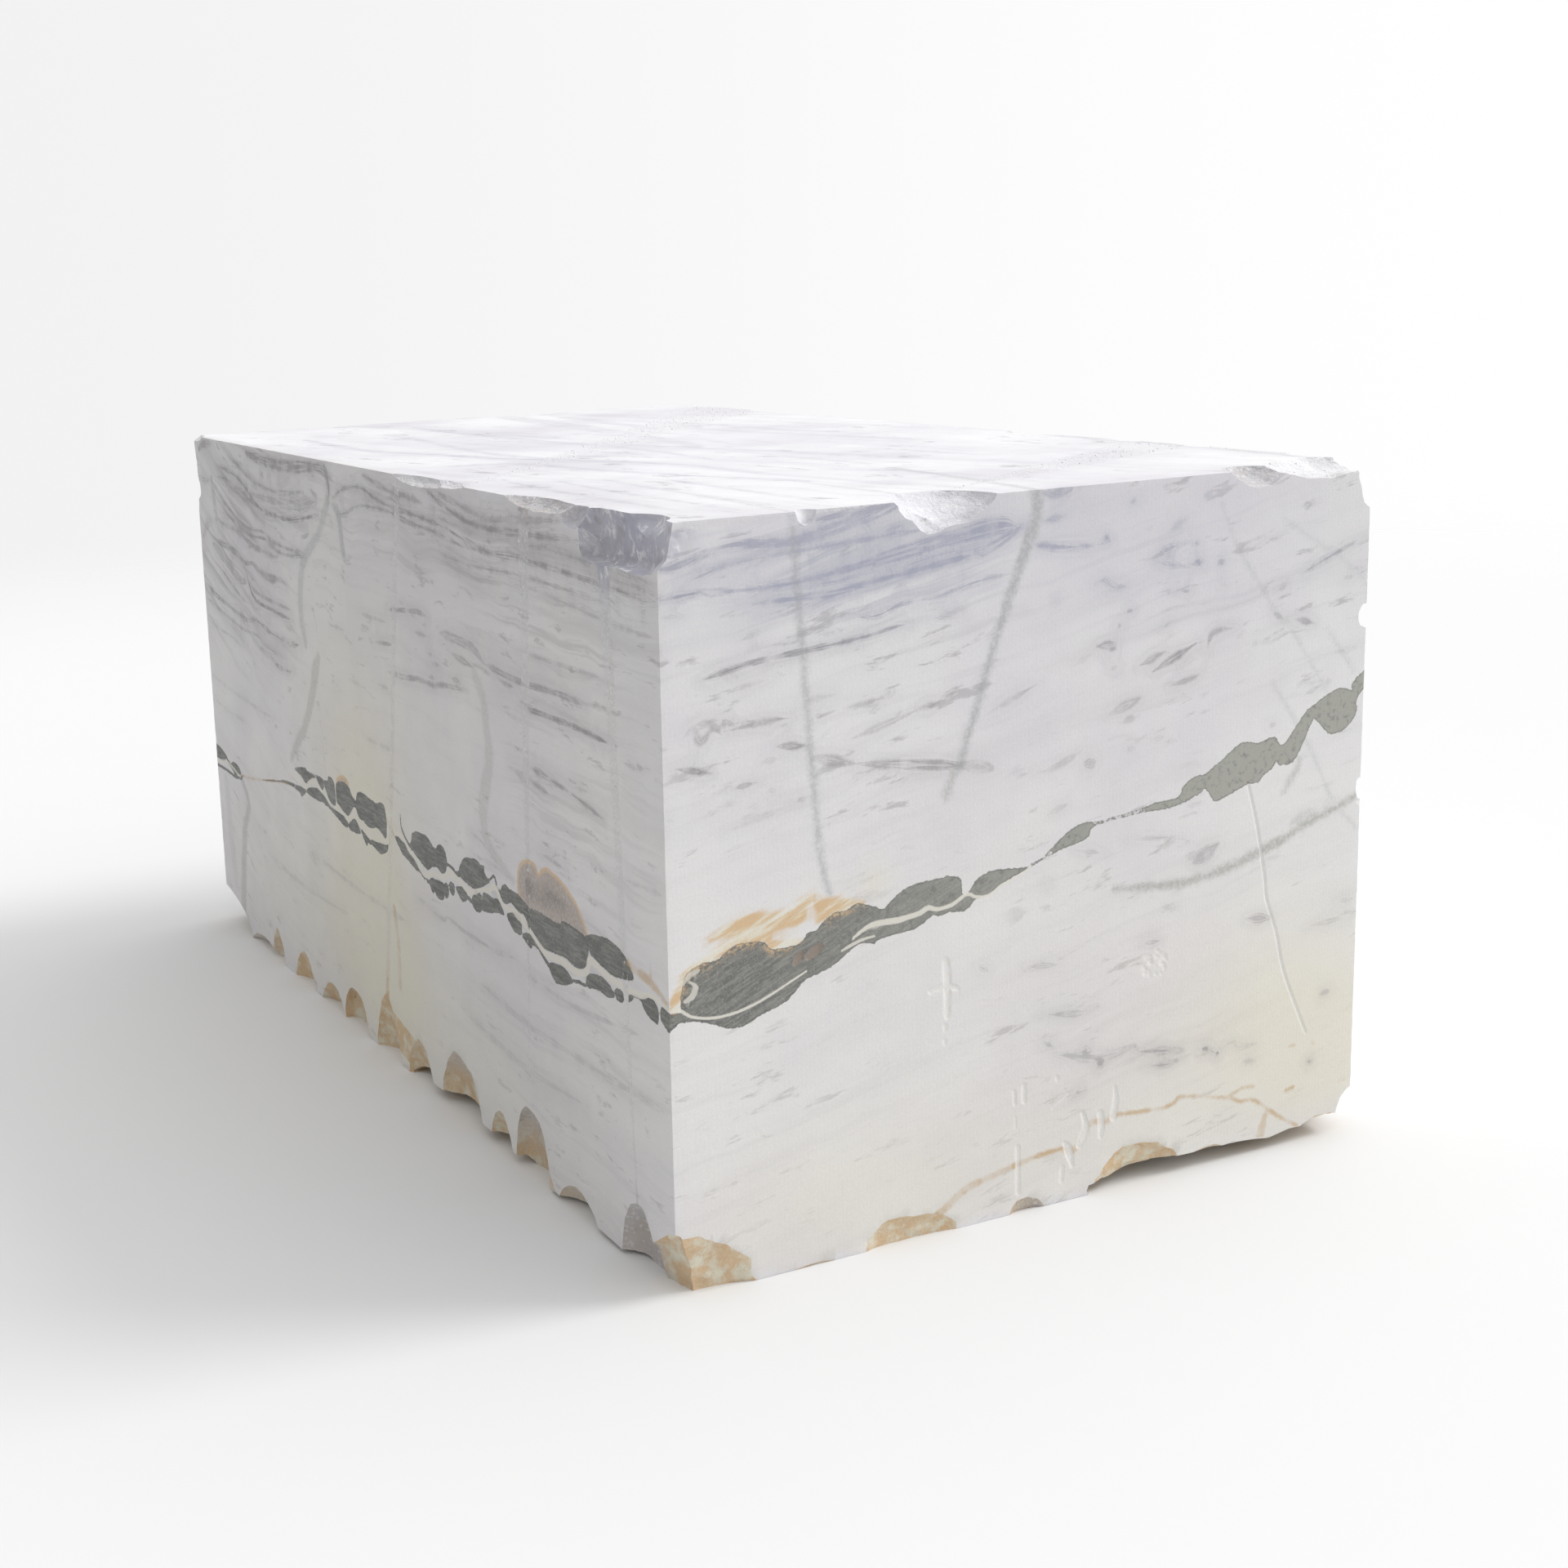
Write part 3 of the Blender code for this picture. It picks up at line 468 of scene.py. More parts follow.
# Lenses of the dark rock, drawn round their outlines
DARK_LENSES: tuple[Outline, ...] = (
    *outlines(Side.FRONT,
        ((-674, 462), (-650, 462), (-650, 480), (-643, 512), (-632, 525), (-608, 534), (-586, 535),
         (-564, 548), (-547, 553), (-514, 552), (-503, 548), (-492, 536), (-448, 536), (-434, 545),
         (-432, 551), (-415, 553), (-404, 564), (-382, 575), (-360, 576), (-338, 584), (-297, 568),
         (-291, 569), (-256, 594), (-217, 600), (-157, 599), (-148, 569), (-140, 567), (-124, 586),
         (-107, 595), (-85, 599), (-30, 594), (-16, 598), (6, 606), (48, 637), (66, 646), (90, 653),
         (114, 650), (198, 659), (228, 665), (270, 667), (282, 673), (285, 682), (300, 694), (321, 701),
         (333, 700), (402, 741), (420, 744), (444, 739), (468, 745), (480, 744), (498, 730), (540, 775),
         (558, 789), (600, 809), (618, 814), (636, 811), (648, 805), (645, 814), (654, 826), (684, 843),
         (684, 816), (666, 802), (657, 787), (659, 772), (648, 751), (630, 739), (612, 735), (594, 739),
         (567, 765), (558, 760), (528, 706), (510, 694), (489, 695), (483, 703), (474, 691), (456, 682),
         (444, 671), (420, 670), (360, 651), (348, 655), (333, 675), (318, 667), (264, 653), (198, 652),
         (108, 644), (96, 628), (72, 619), (30, 610), (-69, 575), (-96, 561), (-124, 556), (-135, 545),
         (-146, 540), (-173, 542), (-195, 539), (-203, 542), (-239, 526), (-300, 520), (-311, 514),
         (-333, 518), (-349, 514), (-390, 490), (-437, 476), (-470, 448), (-514, 435), (-531, 426),
         (-566, 422), (-602, 437), (-635, 446), (-654, 446), (-668, 436), (-674, 435)),
    ),
    *outlines(Side.LEFT,
        ((1345, 446), (1290, 444), (1250, 438), (1222, 430), (1226, 420), (1250, 412), (1300, 411),
         (1345, 416)),
        ((1190, 412), (1160, 424), (1120, 423), (1092, 410), (1110, 401), (1160, 400)),
        ((628, 502), (550, 517), (529, 513), (475, 513), (484, 503), (520, 494), (535, 483), (556, 485),
         (580, 493)),
        ((469, 513), (442, 517), (418, 515), (412, 503), (418, 493), (436, 492)),
        ((412, 513), (385, 518), (373, 529), (352, 529), (337, 521), (333, 512), (333, 476), (358, 471),
         (382, 479), (406, 500)),
        ((328, 491), (327, 515), (316, 527), (292, 533), (262, 536), (232, 530), (217, 517), (193, 509),
         (196, 497), (208, 494), (250, 467), (319, 481)),
        ((190, 509), (184, 524), (169, 533), (130, 535), (62, 530), (34, 537), (10, 535), (1, 521),
         (-3, 500), (1, 476), (13, 466), (28, 473), (63, 479), (94, 472), (124, 470), (148, 476),
         (175, 477), (190, 491)),
        ((640, 463), (586, 468), (550, 467), (556, 458), (586, 446), (598, 452), (640, 456)),
        ((544, 463), (526, 476), (460, 487), (400, 475), (382, 463), (400, 459), (430, 463), (460, 459)),
        ((382, 461), (286, 461), (256, 452), (250, 445), (268, 439), (292, 441)),
        ((253, 446), (220, 465), (196, 467), (172, 449), (184, 441), (232, 439)),
        ((172, 455), (142, 451), (100, 440), (112, 434), (124, 435), (133, 427), (145, 431)),
        ((115, 441), (88, 447), (4, 455), (-14, 464), (-2, 446), (16, 437), (52, 429)),
        ((-51, 481), (-66, 487), (-114, 479), (-123, 470), (-174, 458), (-186, 446), (-174, 441),
         (-102, 455), (-84, 461)),
        ((-147, 479), (-150, 500), (-157, 512), (-174, 519), (-192, 522), (-240, 522), (-285, 507),
         (-300, 519), (-324, 521), (-342, 512), (-347, 494), (-342, 479), (-327, 468), (-306, 468),
         (-294, 473), (-264, 468), (-246, 459), (-228, 457)),
        ((-408, 487), (-438, 521), (-483, 531), (-504, 533), (-522, 529), (-543, 529), (-543, 519),
         (-552, 513), (-567, 509), (-558, 500), (-498, 477), (-462, 476)),
        ((-617, 497), (-630, 513), (-648, 518), (-672, 503), (-657, 487), (-642, 482), (-627, 485)),
        ((-243, 433), (-249, 442), (-270, 446), (-324, 449), (-327, 440), (-321, 419), (-300, 412),
         (-279, 415), (-270, 423), (-261, 415), (-249, 422)),
        ((-327, 449), (-342, 453), (-349, 446), (-348, 431), (-336, 423), (-327, 425)),
        ((-353, 455), (-363, 461), (-381, 459), (-381, 443), (-372, 436), (-359, 439)),
        ((-390, 457), (-414, 463), (-438, 463), (-450, 452), (-441, 442), (-420, 437), (-402, 445)),
        ((-471, 446), (-480, 463), (-495, 473), (-516, 474), (-523, 461), (-522, 443), (-504, 435),
         (-486, 435)),
        ((-525, 458), (-531, 476), (-549, 481), (-582, 479), (-606, 483), (-633, 463), (-624, 459),
         (-600, 457), (-558, 447), (-528, 444)),
        ((-645, 463), (-667, 474), (-688, 477), (-706, 476), (-715, 467), (-713, 449), (-706, 441),
         (-682, 441), (-667, 446)),
        ((-718, 446), (-736, 453), (-757, 455), (-787, 441), (-778, 437), (-763, 437), (-754, 429),
         (-718, 440)),
        ((-736, 483), (-751, 497), (-790, 504), (-880, 504), (-898, 512), (-922, 514), (-976, 512),
         (-1000, 507), (-1006, 491), (-1000, 470), (-988, 455), (-967, 448), (-940, 446), (-904, 451),
         (-808, 443), (-793, 446), (-781, 455), (-739, 473)),
        ((-998, 512), (-1087, 527), (-1144, 517), (-1180, 491), (-1168, 481), (-1108, 471), (-1078, 473),
         (-1024, 482), (-1009, 488)),
        ((-831, 419), (-847, 428), (-901, 432), (-934, 419), (-922, 410), (-874, 397), (-856, 398),
         (-841, 407)),
        ((-991, 425), (-995, 443), (-1012, 451), (-1048, 457), (-1078, 455), (-1105, 440), (-1096, 433),
         (-1072, 429), (-1042, 431)),
        ((-1105, 446), (-1117, 454), (-1138, 452), (-1141, 443), (-1132, 435), (-1114, 434)),
        ((-1144, 449), (-1168, 458), (-1186, 461), (-1168, 446), (-1150, 443)),
        ((-1207, 458), (-1219, 469), (-1240, 471), (-1258, 469), (-1270, 458), (-1267, 440), (-1258, 435),
         (-1222, 443)),
        ((-1276, 458), (-1285, 469), (-1318, 462), (-1318, 432), (-1279, 445)),
    ),
)

# Brown, half-clear skins of weathering over the lenses
HALOS: tuple[Outline, ...] = (
    *outlines(Side.LEFT,
        ((-703, 520), (-709, 560), (-730, 579), (-760, 587), (-790, 583), (-802, 572), (-820, 584),
         (-850, 590), (-910, 578), (-940, 569), (-964, 557), (-988, 536), (-1002, 519), (-1004, 500),
         (-760, 488), (-722, 500)),
        ((318, 524), (306, 540), (276, 548), (246, 546), (236, 532)),
    ),
)

# Ochre stains
STAINS: tuple[Outline, ...] = (
    *outlines(Side.FRONT,
        ((-599, 569), (-552, 590), (-520, 595), (-459, 591), (-442, 605), (-415, 609), (-431, 591),
         (-434, 577), (-448, 569), (-486, 566), (-500, 552), (-547, 550), (-629, 522), (-641, 510),
         (-657, 470), (-671, 468), (-649, 511), (-635, 528), (-607, 544), (-558, 564), (-572, 569)),
        ((-415, 594), (-393, 599), (-332, 586), (-346, 579), (-412, 566), (-408, 577)),
        ((-500, 552), (-480, 544), (-450, 545), (-446, 538), (-492, 533)),
    ),
)

# Marks cut into the stone, with the depth in millimetres as their strength
GOUGES: tuple[Stroke, ...] = (
    *strokes(Side.FRONT, 0,
        (2.2, 2.5, (423, 673), (438, 619), (449, 571), (462, 502), (468, 460), (490, 397), (510, 320),
         (560, 203)),
        (1.6, 0, (-181, 463, 6), (-179, 430, 7), (-180, 370, 5)),
        (1.4, 0, (-211, 416, 4), (-195, 419, 5), (-178, 420, 5), (-160, 413, 4)),
        (1.2, 0, (-184, 354, 4), (-184, 347, 3)),
        (1.2, 3, (-185, 330), (-185, 324)),
        (1.6, 3, (-53, 216), (-52, 194)),
        (1.6, 4, (-34, 223), (-34, 195)),
        (1.2, 3.5, (32, 224), (32, 220)),
        (1, 2, (-51, 170), (-51, 152)),
        (1.6, 4, (-47, 117), (-47, 36)),
        (2, 0, (48, 103, 4), (55, 88, 8), (62, 60, 3)),
        (1.4, 4, (42, 62), (40, 38)),
        (2, 0, (75, 93, 5), (85, 110, 8), (90, 125, 6), (84, 150, 3.5)),
        (2, 0, (120, 142, 6), (122, 118, 6), (120, 100, 3.5)),
        (1.8, 0, (150, 183, 2.5), (151, 160, 5), (146, 130, 7)),
        (0.9, 2.5, (22, 170), (55, 190)),
        (2.6, 0, (-453, 506, 4), (-446, 514, 7), (-441, 520, 4)),
        (2.6, 0, (-430, 512, 5), (-418, 520, 8), (-408, 526, 5)),
    ),
    *strokes(Side.LEFT, 0,
        (0.6, 2.5, (-386, 390), (-372, 160)),
        (0.6, 2.5, (-108, 764), (-156, 766), (-204, 771)),
    ),
    *strokes(Side.RIGHT, 0,
        (1.6, 3, (-640, 300), (-600, 420), (-590, 520)),
    ),
    *strokes(Side.BACK, 0,
        (1.4, 3, (180, 940), (140, 900), (90, 880)),
    ),
)
# The round pitted mark: its pits lie on a disc of this middle and radius, in millimetres
PITTED_MARK = (232, 383, 29)

# Faint smoky bands on the top
TOP_BANDS: tuple[Stroke, ...] = (
    *strokes(Side.TOP, 0,
        (0.33, 11.5, (-500, 900), (-500, 450), (-430, 200), (-400, 50), (-300, -150), (-200, -400),
         (-160, -700)),
        (0.27, 10.5, (-310, 900), (-310, 700), (-340, 300), (-345, 0)),
        (0.27, 9, (-170, 1100), (-170, 750), (-90, 0), (-100, -400)),
        (0.21, 9.5, (20, -200), (60, -700)),
        (0.3, 11, (-520, -100), (-400, -150), (-350, -400), (-260, -700), (-180, -900)),
        (0.36, 24, (-250, -80), (-215, -130)),
        (0.27, 7, (-560, -500), (-565, -800), (-555, -1180)),
        (0.27, 6.5, (-490, -560), (-498, -850), (-480, -1240)),
        (0.24, 6.5, (-420, -600), (-424, -900), (-410, -1260)),
        (0.24, 6.5, (-340, -700), (-330, -1240)),
        (0.21, 6.5, (-200, -860), (-190, -1220)),
        (0.21, 0, (130, 1250, 30), (100, 700, 34), (60, 200, 24), (30, -60, 12)),
        (0.18, 19.5, (240, 1280), (220, 900), (190, 500)),
        (0.3, 14, (650, -300), (655, -800), (648, -1250)),
    ),
)

# Soft tints: rows of (middle, reach each way, strength)
WARM_SPOTS: tuple[Spot, ...] = (
    *spots(Side.LEFT,
        ((-200, 620), (1300, 700), 0.2),
        ((160, 500), (280, 270), 0.9),
        ((60, 220), (230, 190), 0.85),
        ((420, 200), (420, 200), 0.4),
        ((-250, 120), (600, 160), 0.35),
        ((1000, 200), (300, 220), 0.25),
    ),
    *spots(Side.FRONT,
        ((520, 250), (260, 170), 0.75),
        ((620, 140), (160, 120), 0.65),
        ((60, 90), (480, 130), 0.4),
        ((-440, 90), (260, 130), 0.35),
        ((-310, 612), (26, 24), 0.55),
        ((0, 400), (700, 330), 0.22),
    ),
    *spots(Side.RIGHT,
        ((-900, 200), (420, 200), 0.6),
        ((500, 120), (500, 150), 0.5),
    ),
    *spots(Side.BACK,
        ((-300, 140), (420, 170), 0.55),
        ((420, 700), (260, 240), 0.35),
    ),
)
COOL_SPOTS: tuple[Spot, ...] = (
    *spots(Side.FRONT,
        ((-330, 1120), (420, 110), 0.7),
        ((330, 1120), (420, 160), 0.45),
    ),
    *spots(Side.TOP,
        ((0, 0), (900, 1600), 0.5),
    ),
    *spots(Side.RIGHT,
        ((0, 1060), (1200, 180), 0.5),
    ),
    *spots(Side.BACK,
        ((0, 1060), (600, 180), 0.5),
    ),
)
BANDED_SPOTS: tuple[Spot, ...] = (
    *spots(Side.LEFT,
        ((1000, 960), (460, 260), 1),
        ((-750, 1090), (700, 120), 0.7),
        ((0, 1120), (500, 90), 0.5),
        ((-900, 640), (520, 520), 0.45),
        ((700, 330), (500, 160), 0.25),
    ),
    *spots(Side.FRONT,
        ((-330, 1110), (420, 90), 0.75),
        ((200, 1000), (500, 160), 0.3),
        ((300, 250), (500, 120), 0.25),
    ),
    *spots(Side.TOP,
        ((0, 0), (900, 1600), 0.45),
    ),
    *spots(Side.RIGHT,
        ((0, 1000), (1300, 200), 0.8),
    ),
    *spots(Side.BACK,
        ((0, 1000), (640, 200), 0.8),
    ),
)


# ---------------------------------------------------------------- curves and fields


def smoothed(points: np.ndarray, step: float, closed: bool) -> np.ndarray:
    """Runs a smooth curve through points and reads it at an even step.

    Args:
        points: one row for each point; the first two columns are its place.
        step: distance between the points read, in the units of the points.
        closed: whether the curve returns to its start.

    Returns:
        The points read, with the same columns.
    """
    count = len(points)
    if closed:
        ring = np.vstack((points[-1:], points, points[:2]))
        spans = count
    else:
        ring = np.vstack((2 * points[:1] - points[1:2], points, 2 * points[-1:] - points[-2:-1]))
        ring[:, 2:] = np.maximum(ring[:, 2:], 0)
        spans = count - 1
    read = []
    for i in range(spans):
        before, start, end, after = ring[i : i + 4]
        pieces = max(1, math.ceil(math.dist(start[:2], end[:2]) / step))
        for t in np.arange(pieces) / pieces:
            bend = 2 * start + (end - before) * t + (2 * before - 5 * start + 4 * end - after) * t**2
            bend = bend + (3 * start - before - 3 * end + after) * t**3
            read.append(bend / 2)
    if not closed:
        read.append(points[-1].astype(float))
    return np.array(read)


def to_segments(points: np.ndarray, start: np.ndarray, end: np.ndarray) -> tuple[np.ndarray, np.ndarray]:
    """Distance from each point to one segment, and how far along it the nearest place lies."""
    way = end[:2] - start[:2]
    length = max(float(way @ way), 1e-9)
    share = np.clip(((points - start[:2]) @ way) / length, 0, 1)
    gap = points - start[:2] - share[:, None] * way
    return np.hypot(gap[:, 0], gap[:, 1]), share


@dataclass(frozen=True)
class Reach:
    """How a marking is read, in millimetres.

    It is read so far past its edge, at such a step, with smoke of such a width round it, and
    its ends grow thinner over the taper.
    """

    fade: float = 12.0
    step: float = 7.0
    smoke: float = 8.0
    taper: float = 0.0
    thinning: float = 6.0


def gridded(low: np.ndarray, high: np.ndarray, pitch: float) -> np.ndarray:
    """An even grid of places between two corners."""
    ways = (np.arange(start, end, pitch) for start, end in zip(low, high))
    return np.stack(np.meshgrid(*ways), -1).reshape(-1, 2)


def across_line(line: np.ndarray, closed: bool) -> np.ndarray:
    """The way square to a line at each of its points, one unit long."""
    if closed:
        way = np.roll(line, -1, axis=0) - np.roll(line, 1, axis=0)
    else:
        way = np.gradient(line[:, :2], axis=0)
    way /= np.maximum(np.linalg.norm(way, axis=1, keepdims=True), 1e-9)
    return np.stack((-way[:, 1], way[:, 0]), 1)


def near_box(points: np.ndarray, low: np.ndarray, high: np.ndarray, margin: float) -> np.ndarray:
    """Indices of the points inside a box grown by a margin."""
    inside = (points > low - margin) & (points < high + margin)
    return np.flatnonzero(inside.all(axis=1))


def stroke_field(points: np.ndarray, strokes: list, reach: Reach) -> np.ndarray:
    """Reads how each point lies to the strokes of a face.

    Args:
        points: places on one face, in millimetres.
        strokes: the strokes drawn on that face.
        reach: how far past a stroke's edge the reading goes, and the width of its smoke.

    Returns:
        Rows of (depth inside the nearest edge, strength, tint, way along it, smoke round all
        the strokes); the depth is negative outside.
    """
    found = np.zeros((len(points), 5))
    found[:, 0] = -reach.fade
    clear = np.ones(len(points))
    for stroke in strokes:
        line = smoothed(stroke.line(), reach.step, False)
        if reach.taper:
            run = np.append(0, np.cumsum(np.hypot(*np.diff(line[:, :2], axis=0).T)))
            to_end = np.minimum(run, run[-1] - run)
            line[:, 2] -= reach.thinning * (1 - np.clip(to_end / min(reach.taper, 0.4 * run[-1]), 0, 1))
        margin = max(line[:, 2].max(), 0) + reach.fade
        near = near_box(points, line[:, :2].min(axis=0), line[:, :2].max(axis=0), margin)
        if not len(near):
            continue
        placed, run = points[near], 0.0
        nearest = np.full((len(near), 2), (-2 * reach.fade, 0.0))
        for start, end in zip(line, line[1:]):
            distance, share = to_segments(placed, start, end)
            depth = start[2] + share * (end[2] - start[2]) - distance
            better = depth > nearest[:, 0]
            length = math.dist(start[:2], end[:2])
            nearest[better] = np.stack((depth, run + share * length), 1)[better]
            run += length
        clear[near] *= 1 - stroke.strength * np.exp(-((np.minimum(nearest[:, 0], 0) / reach.smoke) ** 2))
        better = nearest[:, 0] > found[near, 0]
        chosen = near[better]
        found[chosen, 0] = nearest[better, 0]
        found[chosen, 1:3] = stroke.strength, stroke.tint
        found[chosen, 3] = nearest[better, 1]
    found[:, 4] = 1 - clear
    return found


def outline_field(points: np.ndarray, outlines: list, reach: Reach) -> np.ndarray:
    """Reads how deep each point lies inside the nearest outline; negative outside."""
    found = np.full(len(points), -reach.fade)
    for outline in outlines:
        ring = smoothed(np.array(outline.points, float), reach.step, True)
        near = near_box(points, ring.min(axis=0), ring.max(axis=0), reach.fade)
        if not len(near):
            continue
        placed = points[near]
        distance = np.full(len(near), 1e9)
        inside = np.zeros(len(near), bool)
        for start, end in zip(ring, np.roll(ring, -1, axis=0)):
            distance = np.minimum(distance, to_segments(placed, start, end)[0])
            rise = end[1] - start[1]
            spans = (start[1] > placed[:, 1]) != (end[1] > placed[:, 1])
            if spans.any() and rise:
                crossing = start[0] + (placed[:, 1] - start[1]) * (end[0] - start[0]) / rise
                inside ^= spans & (placed[:, 0] < crossing)
        found[near] = np.maximum(found[near], np.where(inside, distance, -distance))
    return found


def spot_field(points: np.ndarray, spots: list) -> np.ndarray:
    """Adds up soft rounds of colour at each point, from 0 to 1."""
    total = np.zeros(len(points))
    for spot in spots:
        offset = (points - np.array(spot.middle, float)) / np.array(spot.reach, float)
        total += spot.strength * np.exp(-(offset**2).sum(axis=1))
    return np.clip(total, 0, 1)


@dataclass(frozen=True)
class Bedding:
    """The lie of the layers, as the height of the bed that each point belongs to."""

    rise_across: float = 0.20
    rise_along: float = 0.03
    fold_start: float = 400.0
    fold_bend: float = 0.00021
    fault_throw: float = 70.0

    def height(self, side: Side, points: np.ndarray) -> np.ndarray:
        """Reads the bed at points in millimetres; on the left wall the far beds are folded."""
        x, y, z = points.T
        bed = z - self.rise_across * x - self.rise_along * y
        if side is Side.LEFT:
            past = np.maximum(y - self.fold_start, 0)
            bed -= self.fold_bend * past**2 + self.fault_throw * (past > 0)
        return bed


def drawn_on(side: Side, markings: tuple) -> list:
    """The markings of one face."""
    return [marking for marking in markings if marking.side is side]


# ---------------------------------------------------------------- bedding on the hidden faces


@dataclass(frozen=True)
class HiddenBedding:
    """Draws the bedding and the dark bed round the two faces at the back, in millimetres.

    A face's bands are given as (half its width, their rise from end to end), and its chain of
    lenses as (where it starts and ends, its height at the two).
    """

    seed: int = 41
    top: float = 1180.0
    lowest: float = 150.0
    band_pitch: float = 62.0
    wave_height: float = 14.0
    wave_length: float = 170.0
    lens_length: float = 110.0
    lens_wave: float = 22.0
    right_bands: tuple = (1300, -60)
    back_bands: tuple = (650, 40)
    right_lenses: tuple = ((-1312, 1312), (825, 610))
    back_lenses: tuple = ((664, -664), (610, 425))

    def bands(self, side: Side, half: float, tilt: float) -> tuple:
        """Wavy smoky bands, closer together towards the top.

        Args:
            side: the face they are drawn on.
            half: half the width of the face.
            tilt: how far they rise from one end to the other.

        Returns:
            The bands, as strokes.
        """
        draw = random.Random(self.seed + side.across)
        drawn = []
        height = self.top
        while height > self.lowest:
            start = -half + draw.uniform(0, half)
            span = draw.uniform(0.3, 1.2) * half
            phase = draw.uniform(0, math.tau)
            points = []
            for i in range(9):
                along = start + span * i / 8
                if abs(along) > half + 20:
                    continue
                wave = self.wave_height * math.sin(along / self.wave_length + phase)
                rise = height + tilt * along / (2 * half) + wave
                points.append((along, rise, draw.uniform(2.5, 5.5)))
            if len(points) > 2:
                drawn.append(Stroke(side, 0.0, draw.uniform(0.35, 0.9), 0.0, tuple(points)))
            height -= draw.uniform(0.25, 1.0) * self.band_pitch * (1.6 - height / 1400)
        return tuple(drawn)

    def lenses(self, side: Side, ends: tuple, heights: tuple) -> tuple:
        """The chain of dark lenses from one corner of a face to the other.

        Args:
            side: the face they are drawn on.
            ends: where the chain starts and ends along the face.
            heights: its height at the two ends.

        Returns:
            The lenses, as outlines.
        """
        draw = random.Random(self.seed + 7 + side.across)
        drawn = []
        run = ends[1] - ends[0]
        way = math.copysign(1, run)
        at = ends[0]
        while abs(at - ends[0]) < abs(run):
            length = draw.uniform(0.5, 1.4) * self.lens_length
            share = abs(at + way * length / 2 - ends[0]) / abs(run)
            middle = heights[0] + (heights[1] - heights[0]) * share
            middle += self.lens_wave * math.sin(5 * share + side.across)
            tall = draw.uniform(0.16, 0.30) * length + 6
            ring = []
            for i in range(12):
                turn = math.tau * i / 12
                out = 1 + draw.uniform(-0.18, 0.18)
                along = at + way * length / 2 + 0.5 * length * out * math.cos(turn)
                slope = (heights[1] - heights[0]) / run * (along - at - way * length / 2)
                ring.append((along, middle + slope + 0.5 * tall * out * math.sin(turn)))
            drawn.append(Outline(side, tuple(ring)))
            at += way * (length + draw.uniform(-6, 16))
        return tuple(drawn)


# ---------------------------------------------------------------- the mesh


@dataclass(frozen=True)
class SawnFace:
    """One sawn face as a plane, and the way between it and the millimetres drawn on it."""

    side: Side
    normal: np.ndarray
    offset: float

    def depth(self, points: np.ndarray) -> np.ndarray:
        """How far points lie inside the stone from this face, in metres."""
        return self.offset - points @ self.normal

    def flat(self, points: np.ndarray) -> np.ndarray:
        """Points in metres as places on the face, in millimetres."""
        return points[:, list(self.side.along)] / MM

    def placed(self, flat: np.ndarray) -> np.ndarray:
        """Places on the face, in millimetres, as points in metres."""
        points = np.zeros((len(flat), 3))
        points[:, list(self.side.along)] = flat * MM
        partial = points @ self.normal
        points[:, self.side.across] = (self.offset - partial) / self.normal[self.side.across]
        return points

    def turned(self) -> bool:
        """Whether triangles that run anticlockwise on the face look into the stone."""
        first, second = self.side.along
        axes = np.eye(3)
        return float(np.cross(axes[first], axes[second]) @ self.normal) < 0


@dataclass(frozen=True)
class Fineness:
    """How fine the mesh is, in metres unless said otherwise; facing and level are cosines.

    base_mm and row_mm have a value for each Side in turn: the pitch of the points all over a
    face, and of the rows along its markings.
    """

    broken_seen: float = 0.0098
    broken_hidden: float = 0.030
    broken_below: float = 0.045
    arris: float = 0.012
    hidden_right: float = 0.05
    hidden_below: float = 0.9
    hidden_behind: float = 1.22
    hidden_from: float = -0.6
    passes: int = 6
    base_mm: dict = field(default_factory=lambda: dict(zip(Side, (19.0, 34.0, 15.0, 27.0, 24.0, 80.0))))
    row_mm: dict = field(default_factory=lambda: dict(zip(Side, (7.0, 17.0, 6.0, 11.0, 16.0, 40.0))))
    base_shift: float = 0.28
    base_gap: float = 0.62
    gouge_mm: float = 2.4
    hair_mm: float = 4.0
    outline_mm: float = 6.0
    margin_mm: float = 4.0
    facing: float = 0.998
    level: float = 0.999999
    plane_tolerance: float = 0.00015
    weld: float = 0.00001


@dataclass
class Skin:
    """Everything the mesh is made from, gathered face by face."""

    points: list = field(default_factory=list)
    triangles: list = field(default_factory=list)
    broken: list = field(default_factory=list)
    face_of: list = field(default_factory=list)


